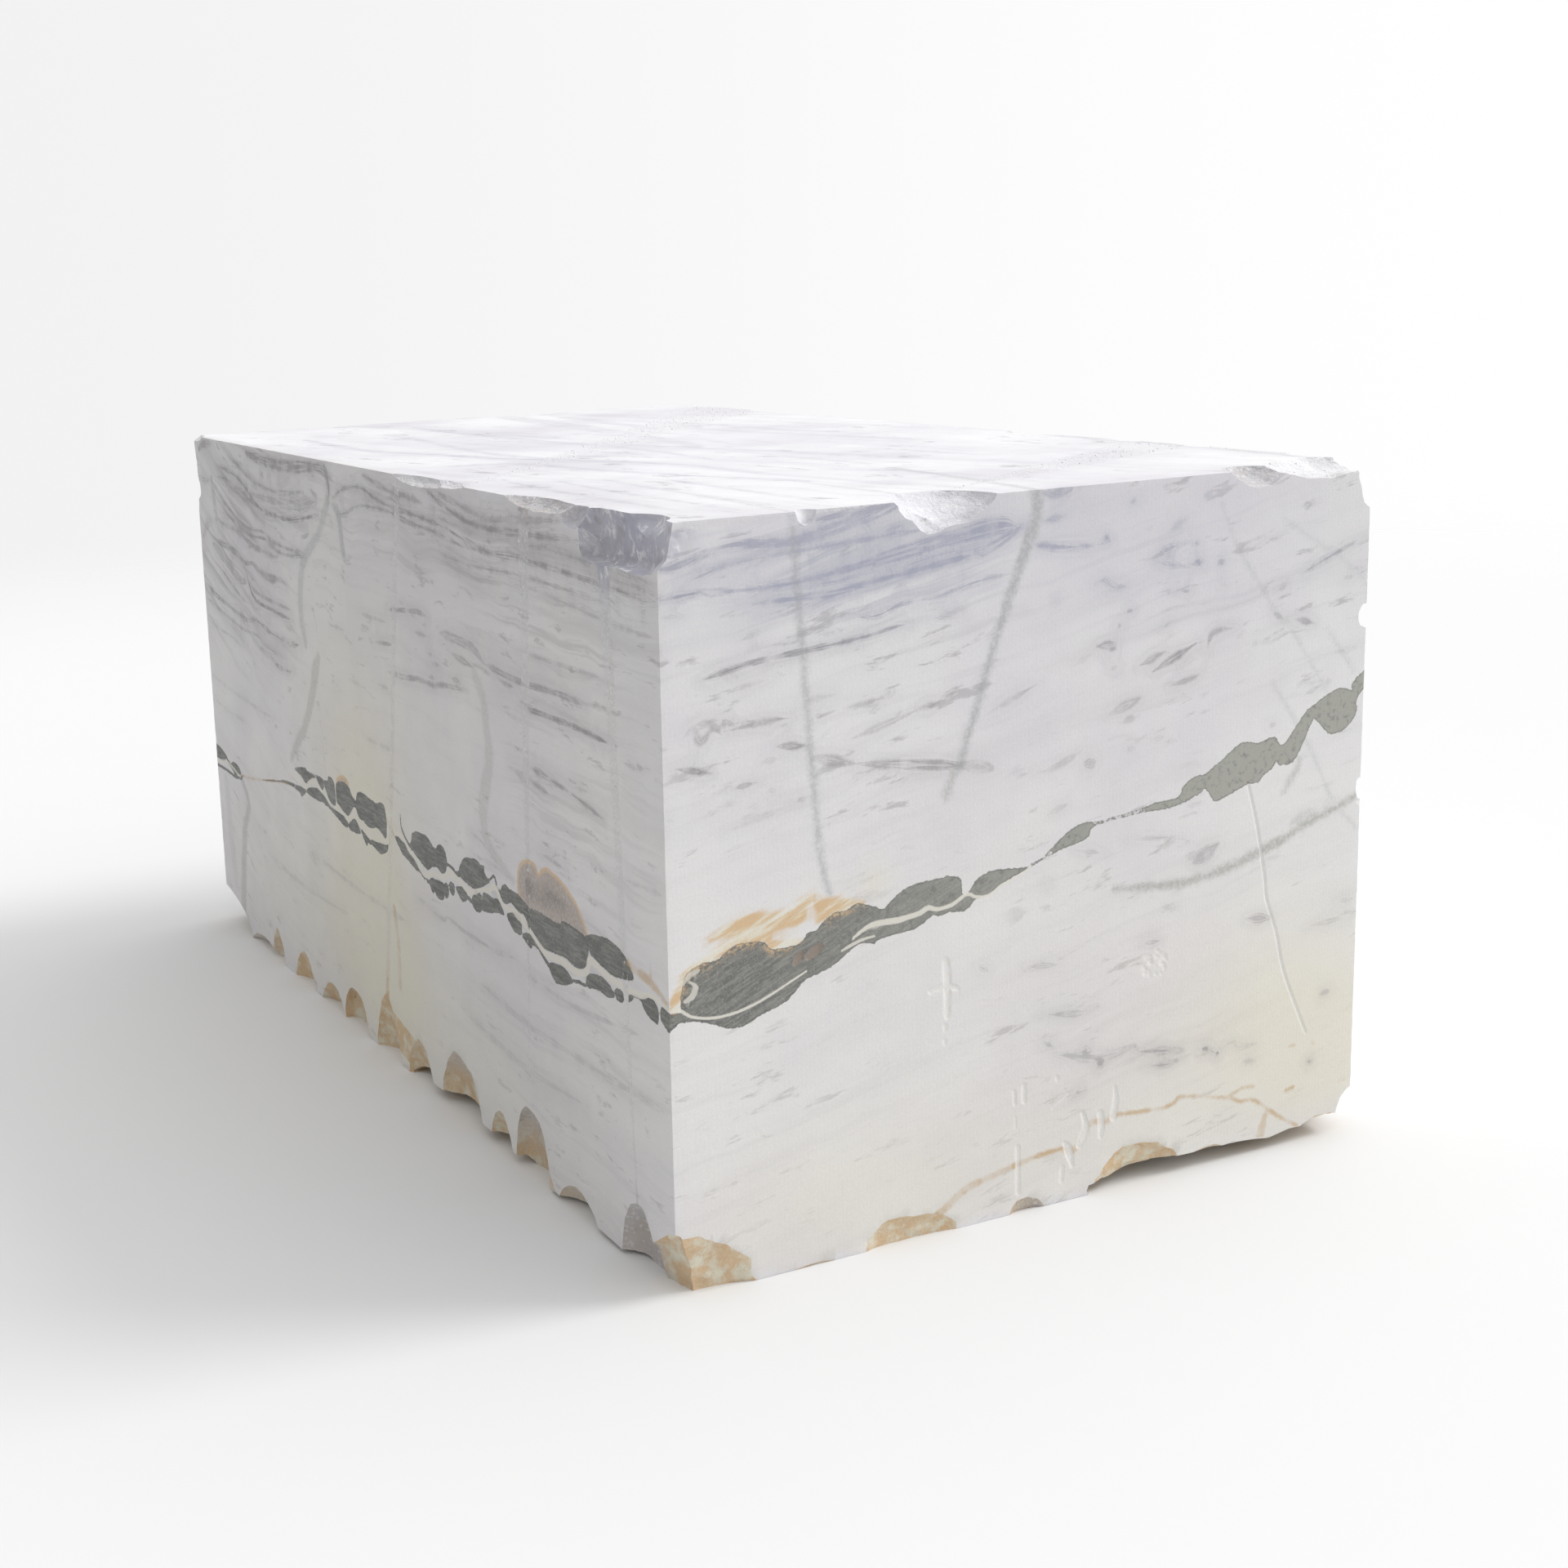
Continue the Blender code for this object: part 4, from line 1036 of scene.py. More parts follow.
@dataclass
class BlockMesher:
    """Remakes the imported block's mesh: fine where markings and breaks are, coarse elsewhere."""

    source: bpy.types.Object
    markings: "Markings"
    fineness: Fineness = field(default_factory=Fineness)
    seed: int = 5
    faces: dict = field(default_factory=dict)

    def build(self) -> Skin:
        """Runs every step in order.

        Returns:
            The points and triangles of the whole block.
        """
        mesh = bmesh.new()
        mesh.from_mesh(self.source.data)
        bmesh.ops.remove_doubles(mesh, verts=mesh.verts, dist=self.fineness.weld)
        mesh.normal_update()
        mesh.verts.index_update()
        self.faces = self.find_faces(mesh)
        skin, borders = self.without_faces(mesh)
        mesh.free()
        borders = self.refine(skin, borders)
        skin.broken = [True] * len(skin.triangles)
        skin.face_of = [0] * len(skin.points)
        for number, sawn in enumerate(self.faces.values()):
            self.fill(skin, sawn, number, [pair for pair, bits in borders.items() if bits >> number & 1])
        return skin

    def find_faces(self, mesh: bmesh.types.BMesh) -> dict:
        """Finds the six sawn planes, each from the largest facet that looks its way."""
        found = {}
        for side in Side:
            outward = Vector((0, 0, 0))
            outward[side.across] = side.sign
            facing = [face for face in mesh.faces if face.normal.dot(outward) > self.fineness.facing]
            widest = max(facing, key=lambda face: face.calc_area())
            level = [face for face in facing if face.normal.dot(widest.normal) > self.fineness.level]
            normal = sum((face.normal * face.calc_area() for face in level), Vector()).normalized()
            area = sum(face.calc_area() for face in level)
            offset = sum(face.calc_center_median().dot(normal) * face.calc_area() for face in level) / area
            found[side] = SawnFace(side, np.array(normal), offset)
        return found

    def without_faces(self, mesh: bmesh.types.BMesh) -> tuple[Skin, dict]:
        """Takes the broken stone over, and leaves the sawn faces open.

        Args:
            mesh: the block, with its doubles merged.

        Returns:
            The broken stone, and the sawn faces that each border edge bounds, one bit for each.
        """
        borders, taken = {}, set()
        for number, sawn in enumerate(self.faces.values()):
            normal = Vector(sawn.normal)
            level = set()
            for face in mesh.faces:
                off = max(abs(vert.co.dot(normal) - sawn.offset) for vert in face.verts)
                if off < self.fineness.plane_tolerance and face.normal.dot(normal) > 0.9:
                    level.add(face)
            for edge in mesh.edges:
                if sum(face in level for face in edge.link_faces) == 1:
                    pair = tuple(sorted(vert.index for vert in edge.verts))
                    borders[pair] = borders.get(pair, 0) | 1 << number
            taken |= level
        skin = Skin(points=[tuple(vert.co) for vert in mesh.verts])
        kept = [face for face in mesh.faces if face not in taken]
        skin.triangles = [tuple(vert.index for vert in face.verts) for face in kept]
        return skin, borders

    def long_edges(self, skin: Skin, borders: dict) -> list:
        """The edges that are longer than their place and the way they look allow."""
        fine = self.fineness
        points, corners = np.array(skin.points), np.array(skin.triangles)
        a, b, c = (points[corners[:, i]] for i in range(3))
        facing = np.cross(b - a, c - a)
        level = facing[:, 2] / np.maximum(np.linalg.norm(facing, axis=1), 1e-12)
        pairs = np.sort(np.vstack((corners[:, :2], corners[:, 1:], corners[:, ::2])), axis=1)
        alone = np.array(sorted(borders))
        pairs, place = np.unique(np.vstack((pairs, alone)), axis=0, return_inverse=True)
        place = place.ravel()
        lowest = np.full(len(pairs), 2.0)
        np.minimum.at(lowest, place[: 3 * len(corners)], np.tile(level, 3))
        middle = (points[pairs[:, 0]] + points[pairs[:, 1]]) / 2
        length = np.linalg.norm(points[pairs[:, 0]] - points[pairs[:, 1]], axis=1)
        x, y, z = middle.T
        right = (x > self.faces[Side.RIGHT].offset - fine.hidden_right) & (z < fine.hidden_below)
        behind = (y > fine.hidden_behind) & (x > fine.hidden_from)
        wanted = np.where(right | behind, fine.broken_hidden, fine.broken_seen)
        wanted[lowest < -0.5] = fine.broken_below
        wanted[lowest > 1] = fine.arris
        return [tuple(pair) for pair in pairs[length > wanted].tolist()]

    def refine(self, skin: Skin, borders: dict) -> dict:
        """Splits long edges until the broken stone is fine enough.

        Args:
            skin: the broken stone, which changes.
            borders: the border edges and the faces they bound.

        Returns:
            The border edges after the splits.
        """
        for _ in range(self.fineness.passes):
            middles = {}
            for pair in self.long_edges(skin, borders):
                middles[pair] = len(skin.points)
                ends = (Vector(skin.points[pair[0]]), Vector(skin.points[pair[1]]))
                skin.points.append(tuple((ends[0] + ends[1]) / 2))
            if not middles:
                break
            skin.triangles = [new for old in skin.triangles for new in self.split(old, middles, skin.points)]
            halves = {}
            for (a, b), bits in borders.items():
                middle = middles.get((a, b))
                parts = ((a, b),) if middle is None else ((a, middle), (b, middle))
                halves.update({part: bits for part in parts})
            borders = halves
        return borders

    @staticmethod
    def split(triangle: tuple, middles: dict, points: list) -> list:
        """Splits one triangle at the middles of its cut edges.

        Args:
            triangle: its three point numbers.
            middles: the point at the middle of each cut edge.
            points: all the points.

        Returns:
            One to four triangles.
        """
        a, b, c = triangle
        for a, b, c in ((a, b, c), (b, c, a), (c, a, b)):
            ab, bc, ca = (middles.get((min(p), max(p))) for p in ((a, b), (b, c), (c, a)))
            if None not in (ab, bc, ca) or ca is None and (ab is not None or bc is None):
                break
        if ab is None:
            return [triangle]
        if ca is not None:
            return [(a, ab, ca), (ab, b, bc), (ca, bc, c), (ab, bc, ca)]
        if bc is None:
            return [(a, ab, c), (ab, b, c)]
        if math.dist(points[a], points[bc]) < math.dist(points[ab], points[c]):
            return [(ab, b, bc), (a, ab, bc), (a, bc, c)]
        return [(ab, b, bc), (a, ab, c), (ab, bc, c)]

    def fill(self, skin: Skin, sawn: SawnFace, number: int, border: list) -> None:
        """Fills one sawn face between its border and the points that its markings need.

        Args:
            skin: the mesh so far, which grows.
            sawn: the face to fill.
            number: its number, whose bit marks its points.
            border: pairs of point numbers, one for each border edge.
        """
        rim = sorted({index for pair in border for index in pair})
        place = {index: i for i, index in enumerate(rim)}
        for index in rim:
            skin.face_of[index] |= 1 << number
        rim_flat = sawn.flat(np.array([skin.points[index] for index in rim]))
        inner = self.inner_points(sawn.side, rim_flat)
        flat = np.vstack((rim_flat, inner))
        edges = [(place[a], place[b]) for a, b in border]
        made = delaunay_2d_cdt([Vector(p) for p in flat], edges, [], 0, 1e-6, True)
        verts, links, faces, origins, link_origins = made[:5]
        walls = {tuple(sorted(link)) for link, old in zip(links, link_origins) if old}
        faces = self.enclosed(faces, walls)
        new_flat = np.array([tuple(v) for v in verts])
        new_points = sawn.placed(new_flat)
        used = {index for face in faces for index in face}
        numbers = {}
        for i in used:
            old = [o for o in origins[i] if o < len(rim)]
            if old:
                numbers[i] = rim[old[0]]
            else:
                numbers[i] = len(skin.points)
                skin.points.append(tuple(new_points[i]))
                skin.face_of.append(1 << number)
        turned = sawn.turned()
        for a, b, c in faces:
            corners = (numbers[a], numbers[b], numbers[c])
            if len(set(corners)) == 3:
                skin.triangles.append(corners[::-1] if turned else corners)
                skin.broken.append(False)
        LOG.info("%s: %d border edges, %d triangles", sawn.side.name, len(border), len(faces))

    @staticmethod
    def enclosed(faces: list, walls: set) -> list:
        """The triangles that can't be reached from outside without crossing the border.

        Args:
            faces: all the triangles.
            walls: the border's edges, as sorted pairs.

        Returns:
            The triangles inside the border.
        """
        beside = {}
        for i, (a, b, c) in enumerate(faces):
            for pair in ((a, b), (b, c), (c, a)):
                beside.setdefault(tuple(sorted(pair)), []).append(i)
        reached = {pair[0] for link, pair in beside.items() if len(pair) == 1 and link not in walls}
        front = list(reached)
        while front:
            a, b, c = faces[front.pop()]
            for pair in ((a, b), (b, c), (c, a)):
                link = tuple(sorted(pair))
                if link in walls:
                    continue
                for i in beside[link]:
                    if i not in reached:
                        reached.add(i)
                        front.append(i)
        return [face for i, face in enumerate(faces) if i not in reached]

    def inner_points(self, side: Side, rim: np.ndarray) -> np.ndarray:
        """The points inside a sawn face: rows along its markings first, then an even spread."""
        fine = self.fineness
        layers = self.markings.rows(side, fine)
        rng = np.random.default_rng(self.seed + side.across)
        low, high = rim.min(axis=0), rim.max(axis=0)
        base = fine.base_mm[side]
        grid = gridded(low + base / 2, high, base)
        shift = rng.uniform(-fine.base_shift, fine.base_shift, grid.shape)
        kept = [rim]
        for points, gap in layers + [(grid + shift * base, fine.base_gap * base)]:
            if not len(points):
                continue
            cells = np.unique(np.floor(points / (0.75 * gap)).astype(int), axis=0, return_index=True)[1]
            points = points[np.sort(cells)]
            points = points[near_box(points, low, high, -1)]
            before = np.vstack(kept)
            tree = kdtree.KDTree(len(before))
            for i, (a, b) in enumerate(before):
                tree.insert((a, b, 0), i)
            tree.balance()
            far = [tree.find((a, b, 0))[2] > gap for a, b in points]
            kept.append(points[np.array(far, bool)])
        return np.vstack(kept[1:])




@dataclass
class Markings:
    """Every marking on every face, and what the mesh and the finish need to know of them."""

    hidden: HiddenBedding = field(default_factory=HiddenBedding)
    reach: Reach = field(default_factory=Reach)
    wide: Reach = field(default_factory=lambda: Reach(fade=30.0, smoke=13.0, taper=45.0))
    pits_seed: int = 8
    pits_count: int = 26
    pits_depth: float = 2.2

    def __post_init__(self) -> None:
        """Adds the markings of the faces at the back to the drawn ones."""
        hidden = self.hidden
        right = hidden.bands(Side.RIGHT, *hidden.right_bands)
        back = hidden.bands(Side.BACK, *hidden.back_bands)
        self.streaks = STREAKS + TOP_BANDS + right + back
        right = hidden.lenses(Side.RIGHT, *hidden.right_lenses)
        back = hidden.lenses(Side.BACK, *hidden.back_lenses)
        self.lenses = DARK_LENSES + right + back

    def rows(self, side: Side, fine: Fineness) -> list:
        """Rows of points along the markings of a face, the most telling first.

        Args:
            side: the face.
            fine: how fine the mesh is.

        Returns:
            Pairs of (points, least gap to the points before them), in millimetres.
        """
        layers = []
        gouges = drawn_on(side, GOUGES)
        if gouges:
            layers.append((self.around(gouges, fine.gouge_mm, 7.0), 0.7 * fine.gouge_mm))
        if side is Side.FRONT:
            layers.append((self.disc(fine.gouge_mm), 0.7 * fine.gouge_mm))
        rings = [
            smoothed(np.array(lens.points, float), max(fine.outline_mm, 0.7 * fine.row_mm[side]), True)
            for lens in drawn_on(side, self.lenses + STAINS + HALOS)
        ]
        hairs = [smoothed(hair.line(), fine.hair_mm, False) for hair in drawn_on(side, HAIRLINES)]
        for offset in (0.0, fine.hair_mm, -fine.hair_mm):
            if hairs:
                layers.append((np.vstack([self.beside(hair, offset) for hair in hairs]), 0.6 * fine.hair_mm))
        strokes = drawn_on(side, self.streaks + VEINS + RUST_LINES + DARK_LINKS)
        middles, flanks = [], []
        for stroke in strokes:
            line = stroke.line()
            step = max(line[:, 2].min() + fine.margin_mm - 1, fine.row_mm[side])
            line = smoothed(line, step, False)
            middles.append(line[:, :2])
            flanks += [self.beside(line, way * (line[:, 2:] + fine.margin_mm)) for way in (1, -1)]
        beside = []
        for ring in rings:
            across = across_line(ring, True) * 0.9 * fine.outline_mm
            beside += [ring + across, ring - across]
        row = fine.row_mm[side]
        gaps = (0.45 * fine.outline_mm, 0.5 * row, 0.7 * fine.outline_mm, 0.65 * row)
        for lines, gap in zip((rings, middles, beside, flanks), gaps):
            if lines:
                layers.append((np.vstack(lines), gap))
        return layers

    @staticmethod
    def beside(line: np.ndarray, offset: float | np.ndarray) -> np.ndarray:
        """The points of a line moved sideways."""
        return line[:, :2] + across_line(line, False) * offset

    @staticmethod
    def around(strokes: list, pitch: float, margin: float) -> np.ndarray:
        """An even grid of points over a few strokes and a margin round them."""
        found = []
        for stroke in strokes:
            line = stroke.line()
            low = line[:, :2].min(axis=0) - margin - line[:, 2].max()
            high = line[:, :2].max(axis=0) + margin + line[:, 2].max()
            grid = gridded(low, high, pitch)
            depth = stroke_field(grid, [stroke], Reach(fade=margin))[:, 0]
            found.append(grid[depth > -margin + 0.5])
        return np.vstack(found)

    @staticmethod
    def disc(pitch: float) -> np.ndarray:
        """An even grid of points over the round pitted mark."""
        a, b, radius = PITTED_MARK
        reach = radius + 5
        grid = gridded((-reach, -reach), (reach, reach), pitch)
        return grid[np.hypot(*grid.T) < reach] + (a, b)

    def pits(self, flat: np.ndarray) -> np.ndarray:
        """How deep the round mark's pits are at each place on the front, in millimetres."""
        a, b, radius = PITTED_MARK
        draw = random.Random(self.pits_seed)
        depth = np.zeros(len(flat))
        near = np.flatnonzero(np.hypot(flat[:, 0] - a, flat[:, 1] - b) < radius + 6)
        for _ in range(self.pits_count):
            turn, out = draw.uniform(0, math.tau), radius * draw.uniform(0.1, 1.0) ** 0.6
            size = draw.uniform(3.0, 6.0)
            middle = (a + out * math.cos(turn), b + 0.9 * out * math.sin(turn))
            gap = np.hypot(flat[near, 0] - middle[0], flat[near, 1] - middle[1]) / size
            depth[near] = np.maximum(depth[near], draw.uniform(0.5, 1.0) * np.clip(1.2 - gap, 0, 1))
        return self.pits_depth * depth

    def carve(self, side: Side, flat: np.ndarray) -> np.ndarray:
        """How deep the gouges and pits are at each place on a face, in millimetres."""
        depth = np.zeros(len(flat))
        gouges = drawn_on(side, GOUGES)
        if gouges:
            found = stroke_field(flat, gouges, Reach(fade=3.0, step=4.0))
            depth = found[:, 1] * np.clip(found[:, 0] / 2.2 + 0.35, 0, 1)
        if side is Side.FRONT:
            depth = np.maximum(depth, self.pits(flat))
        return depth

    def read(self, side: Side, flat: np.ndarray) -> dict:
        """Reads every marking of a face at places on it.

        Args:
            side: the face.
            flat: the places, in millimetres.

        Returns:
            One array for each attribute that the finishes read.
        """
        values = {}
        strokes = {"streak": self.streaks, "vein": VEINS, "cream": HAIRLINES, "rust": RUST_LINES}
        for name, drawn in strokes.items():
            reach = self.wide if name == "streak" else self.reach
            found = stroke_field(flat, drawn_on(side, drawn), reach)
            values[f"{name}_depth"], values[f"{name}_strength"] = found[:, 0], found[:, 1]
            if name == "streak":
                values["streak_along"], values["smoke"] = found[:, 3], found[:, 4]
            if name == "vein":
                values["vein_tint"] = found[:, 2]
        lenses = outline_field(flat, drawn_on(side, self.lenses), self.reach)
        links = stroke_field(flat, drawn_on(side, DARK_LINKS), self.reach)[:, 0]
        values["dark_depth"] = np.maximum(lenses, links)
        values["stain_depth"] = outline_field(flat, drawn_on(side, STAINS), self.reach)
        values["halo_depth"] = outline_field(flat, drawn_on(side, HALOS), self.reach)
        values["warm"] = spot_field(flat, drawn_on(side, WARM_SPOTS))
        values["cool"] = spot_field(flat, drawn_on(side, COOL_SPOTS))
        values["banded"] = spot_field(flat, drawn_on(side, BANDED_SPOTS))
        # 1 on the top face: it lays the top's bedding, and it paints the top lighter as painted light.
        values["over"] = np.full(len(flat), float(side is Side.TOP))
        values["carved"] = self.carve(side, flat)
        return values


# ---------------------------------------------------------------- node trees


class Wiring:
    """Adds nodes to one tree, each already fed."""

    def __init__(self, tree: bpy.types.NodeTree) -> None:
        """Starts on a tree."""
        self.tree = tree

    def add(self, kind: str, settings: dict | None = None, **feeds: object) -> bpy.types.Node:
        """Adds a node.

        Args:
            kind: the node's type.
            settings: values of the node's own properties.
            **feeds: a socket or a value for each input, by its name with _ for spaces.

        Returns:
            The new node.
        """
        node = self.tree.nodes.new(kind)
        for name, value in (settings or {}).items():
            setattr(node, name, value)
        for name, value in feeds.items():
            self.feed(node.inputs[name.replace("_", " ")], value)
        return node

    def feed(self, socket: bpy.types.NodeSocket, value: object) -> None:
        """Links a socket to an input, or sets the input's value."""
        if isinstance(value, bpy.types.NodeSocket):
            self.tree.links.new(value, socket)
        else:
            socket.default_value = value

    def feed_each(self, sockets: object, values: tuple) -> None:
        """Feeds a row of inputs from a row of values."""
        for socket, value in zip(sockets, values):
            self.feed(socket, value)

    def math(self, operation: str, *feeds: object, clamp: bool = False) -> bpy.types.NodeSocket:
        """A Math node on its first inputs."""
        node = self.add("ShaderNodeMath", {"operation": operation, "use_clamp": clamp})
        self.feed_each(node.inputs, feeds)
        return node.outputs[0]

    def times(self, product: object, *others: object) -> bpy.types.NodeSocket:
        """The product of its values."""
        for value in others:
            product = self.math("MULTIPLY", product, value)
        return product

    def plus(self, first: object, second: object) -> bpy.types.NodeSocket:
        """The sum of two values."""
        return self.math("ADD", first, second)

    def minus(self, first: object, second: object) -> bpy.types.NodeSocket:
        """The first value less the second."""
        return self.math("SUBTRACT", first, second)

    def vector(self, operation: str, *feeds: object) -> bpy.types.Node:
        """A Vector Math node on its first inputs."""
        node = self.add("ShaderNodeVectorMath", {"operation": operation})
        sockets = [node.inputs[0], node.inputs["Scale"]] if operation == "SCALE" else node.inputs
        self.feed_each(sockets, feeds)
        return node

    def stretched(self, place: object, scale: tuple) -> bpy.types.NodeSocket:
        """A place whose axes are scaled each by its own number."""
        return self.vector("MULTIPLY", place, scale).outputs[0]

    def shrunk(self, place: object, size: object) -> bpy.types.NodeSocket:
        """A place measured in units of a size."""
        return self.vector("SCALE", place, self.math("DIVIDE", 1.0, size)).outputs[0]

    def split(self, place: object) -> bpy.types.NodeOutputs:
        """The three parts of a vector, named X, Y and Z."""
        return self.add("ShaderNodeSeparateXYZ", Vector=place).outputs

    def joined(self, x: object, y: object, z: object) -> bpy.types.NodeSocket:
        """A vector of three values."""
        return self.add("ShaderNodeCombineXYZ", X=x, Y=y, Z=z).outputs[0]

    def ramp(self, value: object, low: float, high: float, to: tuple = (0.0, 1.0)) -> bpy.types.NodeSocket:
        """A smooth step of a value from one range to another."""
        node = self.add("ShaderNodeMapRange", {"interpolation_type": "SMOOTHSTEP"}, Value=value)
        self.feed_each(node.inputs[1:5], (low, high, *to))
        return node.outputs["Result"]

    def blend(self, share: object, first: object, second: object) -> bpy.types.NodeSocket:
        """A mix of two colours."""
        node = self.add("ShaderNodeMix", {"data_type": "RGBA"})
        self.feed_each((node.inputs[0], node.inputs[6], node.inputs[7]), (share, first, second))
        return node.outputs[2]

    def noise(self, place: object, scale: float, detail: float = 3.0, rough: float = 0.5) -> object:
        """Soft noise from 0 to 1 about a half."""
        feeds = {"Vector": place, "Scale": scale, "Detail": detail, "Roughness": rough}
        return self.add("ShaderNodeTexNoise", **feeds).outputs["Fac"]

    def read(self, name: str) -> bpy.types.NodeSocket:
        """A vertex attribute."""
        return self.add("ShaderNodeAttribute", {"attribute_name": name}).outputs["Fac"]

    def wobbled(self, depth: object, *wobbles: tuple) -> bpy.types.NodeSocket:
        """A depth in millimetres with noises about a half added, each as (noise, share)."""
        for wobble, share in wobbles:
            depth = self.plus(depth, self.times(self.minus(wobble, 0.5), share))
        return depth


def with_sockets(name: str, kind: str, inputs: dict, outputs: dict) -> tuple:
    """Starts a node group.

    Args:
        name: its name.
        kind: the tree's type.
        inputs: socket type and default value, by input name.
        outputs: socket type, by output name.

    Returns:
        Its wiring, its inputs' sockets and the node that its outputs feed.
    """
    tree = bpy.data.node_groups.new(name, kind)
    for label, (socket_type, value) in inputs.items():
        socket = tree.interface.new_socket(label, in_out="INPUT", socket_type=socket_type)
        if value is not None:
            socket.default_value = value
    for label, socket_type in outputs.items():
        tree.interface.new_socket(label, in_out="OUTPUT", socket_type=socket_type)
    wiring = Wiring(tree)
    return wiring, wiring.add("NodeGroupInput").outputs, wiring.add("NodeGroupOutput")


def colour(red: float, green: float, blue: float) -> tuple:
    """A linear colour with full cover."""
    return (red, green, blue, 1.0)


# ---------------------------------------------------------------- the finishes


@dataclass(frozen=True)
class Palette:
    """Colours of the stone, linear."""

    white: tuple = colour(0.82, 0.81, 0.81)
    milk: tuple = colour(0.75, 0.73, 0.76)
    lavender: tuple = colour(0.40, 0.41, 0.51)
    smoke: tuple = colour(0.345, 0.33, 0.34)
    cream: tuple = colour(0.80, 0.76, 0.61)
    calcite: tuple = colour(0.80, 0.77, 0.69)
    ochre: tuple = colour(0.70, 0.49, 0.27)
    rust: tuple = colour(0.56, 0.38, 0.18)
    brown: tuple = colour(0.33, 0.26, 0.21)
    vein_grey: tuple = colour(0.42, 0.43, 0.46)
    vein_olive: tuple = colour(0.40, 0.40, 0.35)
    charcoal: tuple = colour(0.125, 0.127, 0.122)
    slate: tuple = colour(0.40, 0.40, 0.36)
    # The sugary white of fresh breaks, crumbs and cut marks; it is also the painted highlight that lightens
    # the top face and the painted glints on broken crystals.
    sugar_white_and_highlight: tuple = colour(0.88, 0.88, 0.90)
    violet: tuple = colour(0.43, 0.43, 0.53)
    halo: tuple = colour(0.44, 0.37, 0.32)
    halo_core: tuple = colour(0.17, 0.145, 0.13)


@dataclass(frozen=True)
class Ground:
    """The white ground of the marble: how its beds lie and how strongly each layer of it shows."""

    bend: float = 0.055
    top_slant: float = 0.24
    top_rise: float = 0.55
    haze: tuple = (0.05, 0.40)
    lines: tuple = (0.07, 0.55)
    specks: float = 0.50
    warmth: float = 0.70
    coolness: float = 0.14

    def group(self, palette: Palette) -> bpy.types.NodeTree:
        """Clouds, fine bedding and flecks, tinted warm and cool; the top face is painted lighter, as painted
        light from above.
        """
        inputs = {"Place": ("NodeSocketVector", None), "Bedding": ("NodeSocketFloat", 1.0)}
        wiring, given, out = with_sockets(
            "marble_ground", "ShaderNodeTree", inputs, {"Color": "NodeSocketColor"}
        )
        ramp, blend, times, noise = wiring.ramp, wiring.blend, wiring.times, wiring.noise
        place, over, cool = given["Place"], wiring.read("over"), wiring.read("cool")
        axes = wiring.split(place)
        clouds = noise(place, 2.4, 4.0, 0.6)
        bend = times(wiring.minus(noise(place, 4.5, 3.0), 0.5), self.bend)
        on_walls = wiring.plus(times(wiring.read("bed"), MM), bend)
        on_top = wiring.plus(axes["X"], times(axes["Y"], self.top_slant))
        bed = blend(over, on_walls, wiring.plus(times(on_top, self.top_rise), bend))
        laid = wiring.joined(axes["X"], axes["Y"], bed)
        fine = noise(wiring.stretched(laid, (1.5, 1.5, 46.0)), 1.0, 5.0, 0.62)
        wide = noise(wiring.stretched(laid, (1.1, 1.1, 15.0)), 1.0, 4.0, 0.55)
        flecks = noise(wiring.stretched(laid, (9.0, 9.0, 40.0)), 1.0, 4.0, 0.7)
        where = noise(wiring.vector("ADD", place, (3.1, 1.7, 0.4)).outputs[0], 3.4, 3.0, 0.6)
        banded = times(wiring.read("banded"), given["Bedding"])
        tone = blend(ramp(cool, 0.0, 0.6), palette.smoke, palette.lavender)
        # On the top face the ground starts from a lighter white: painted light, the top made brighter
        # because it faces the light.
        shade = blend(ramp(clouds, 0.35, 0.68), blend(over, palette.white, palette.sugar_white_and_highlight), palette.milk)
        shade = blend(times(ramp(wide, 0.44, 0.68), ramp(banded, 0.0, 1.0, self.haze)), shade, tone)
        lines = times(ramp(fine, 0.50, 0.66), ramp(banded, 0.0, 1.0, self.lines))
        shade = blend(times(lines, ramp(where, 0.30, 0.55, (0.35, 1.0))), shade, tone)
        specks = times(ramp(flecks, 0.57, 0.68), ramp(where, 0.38, 0.56), self.specks)
        shade = blend(specks, shade, palette.smoke)
        shade = blend(times(wiring.read("warm"), self.warmth), shade, palette.cream)
        shade = blend(times(cool, self.coolness), shade, palette.lavender)
        wiring.feed(out.inputs["Color"], shade)
        return wiring.tree


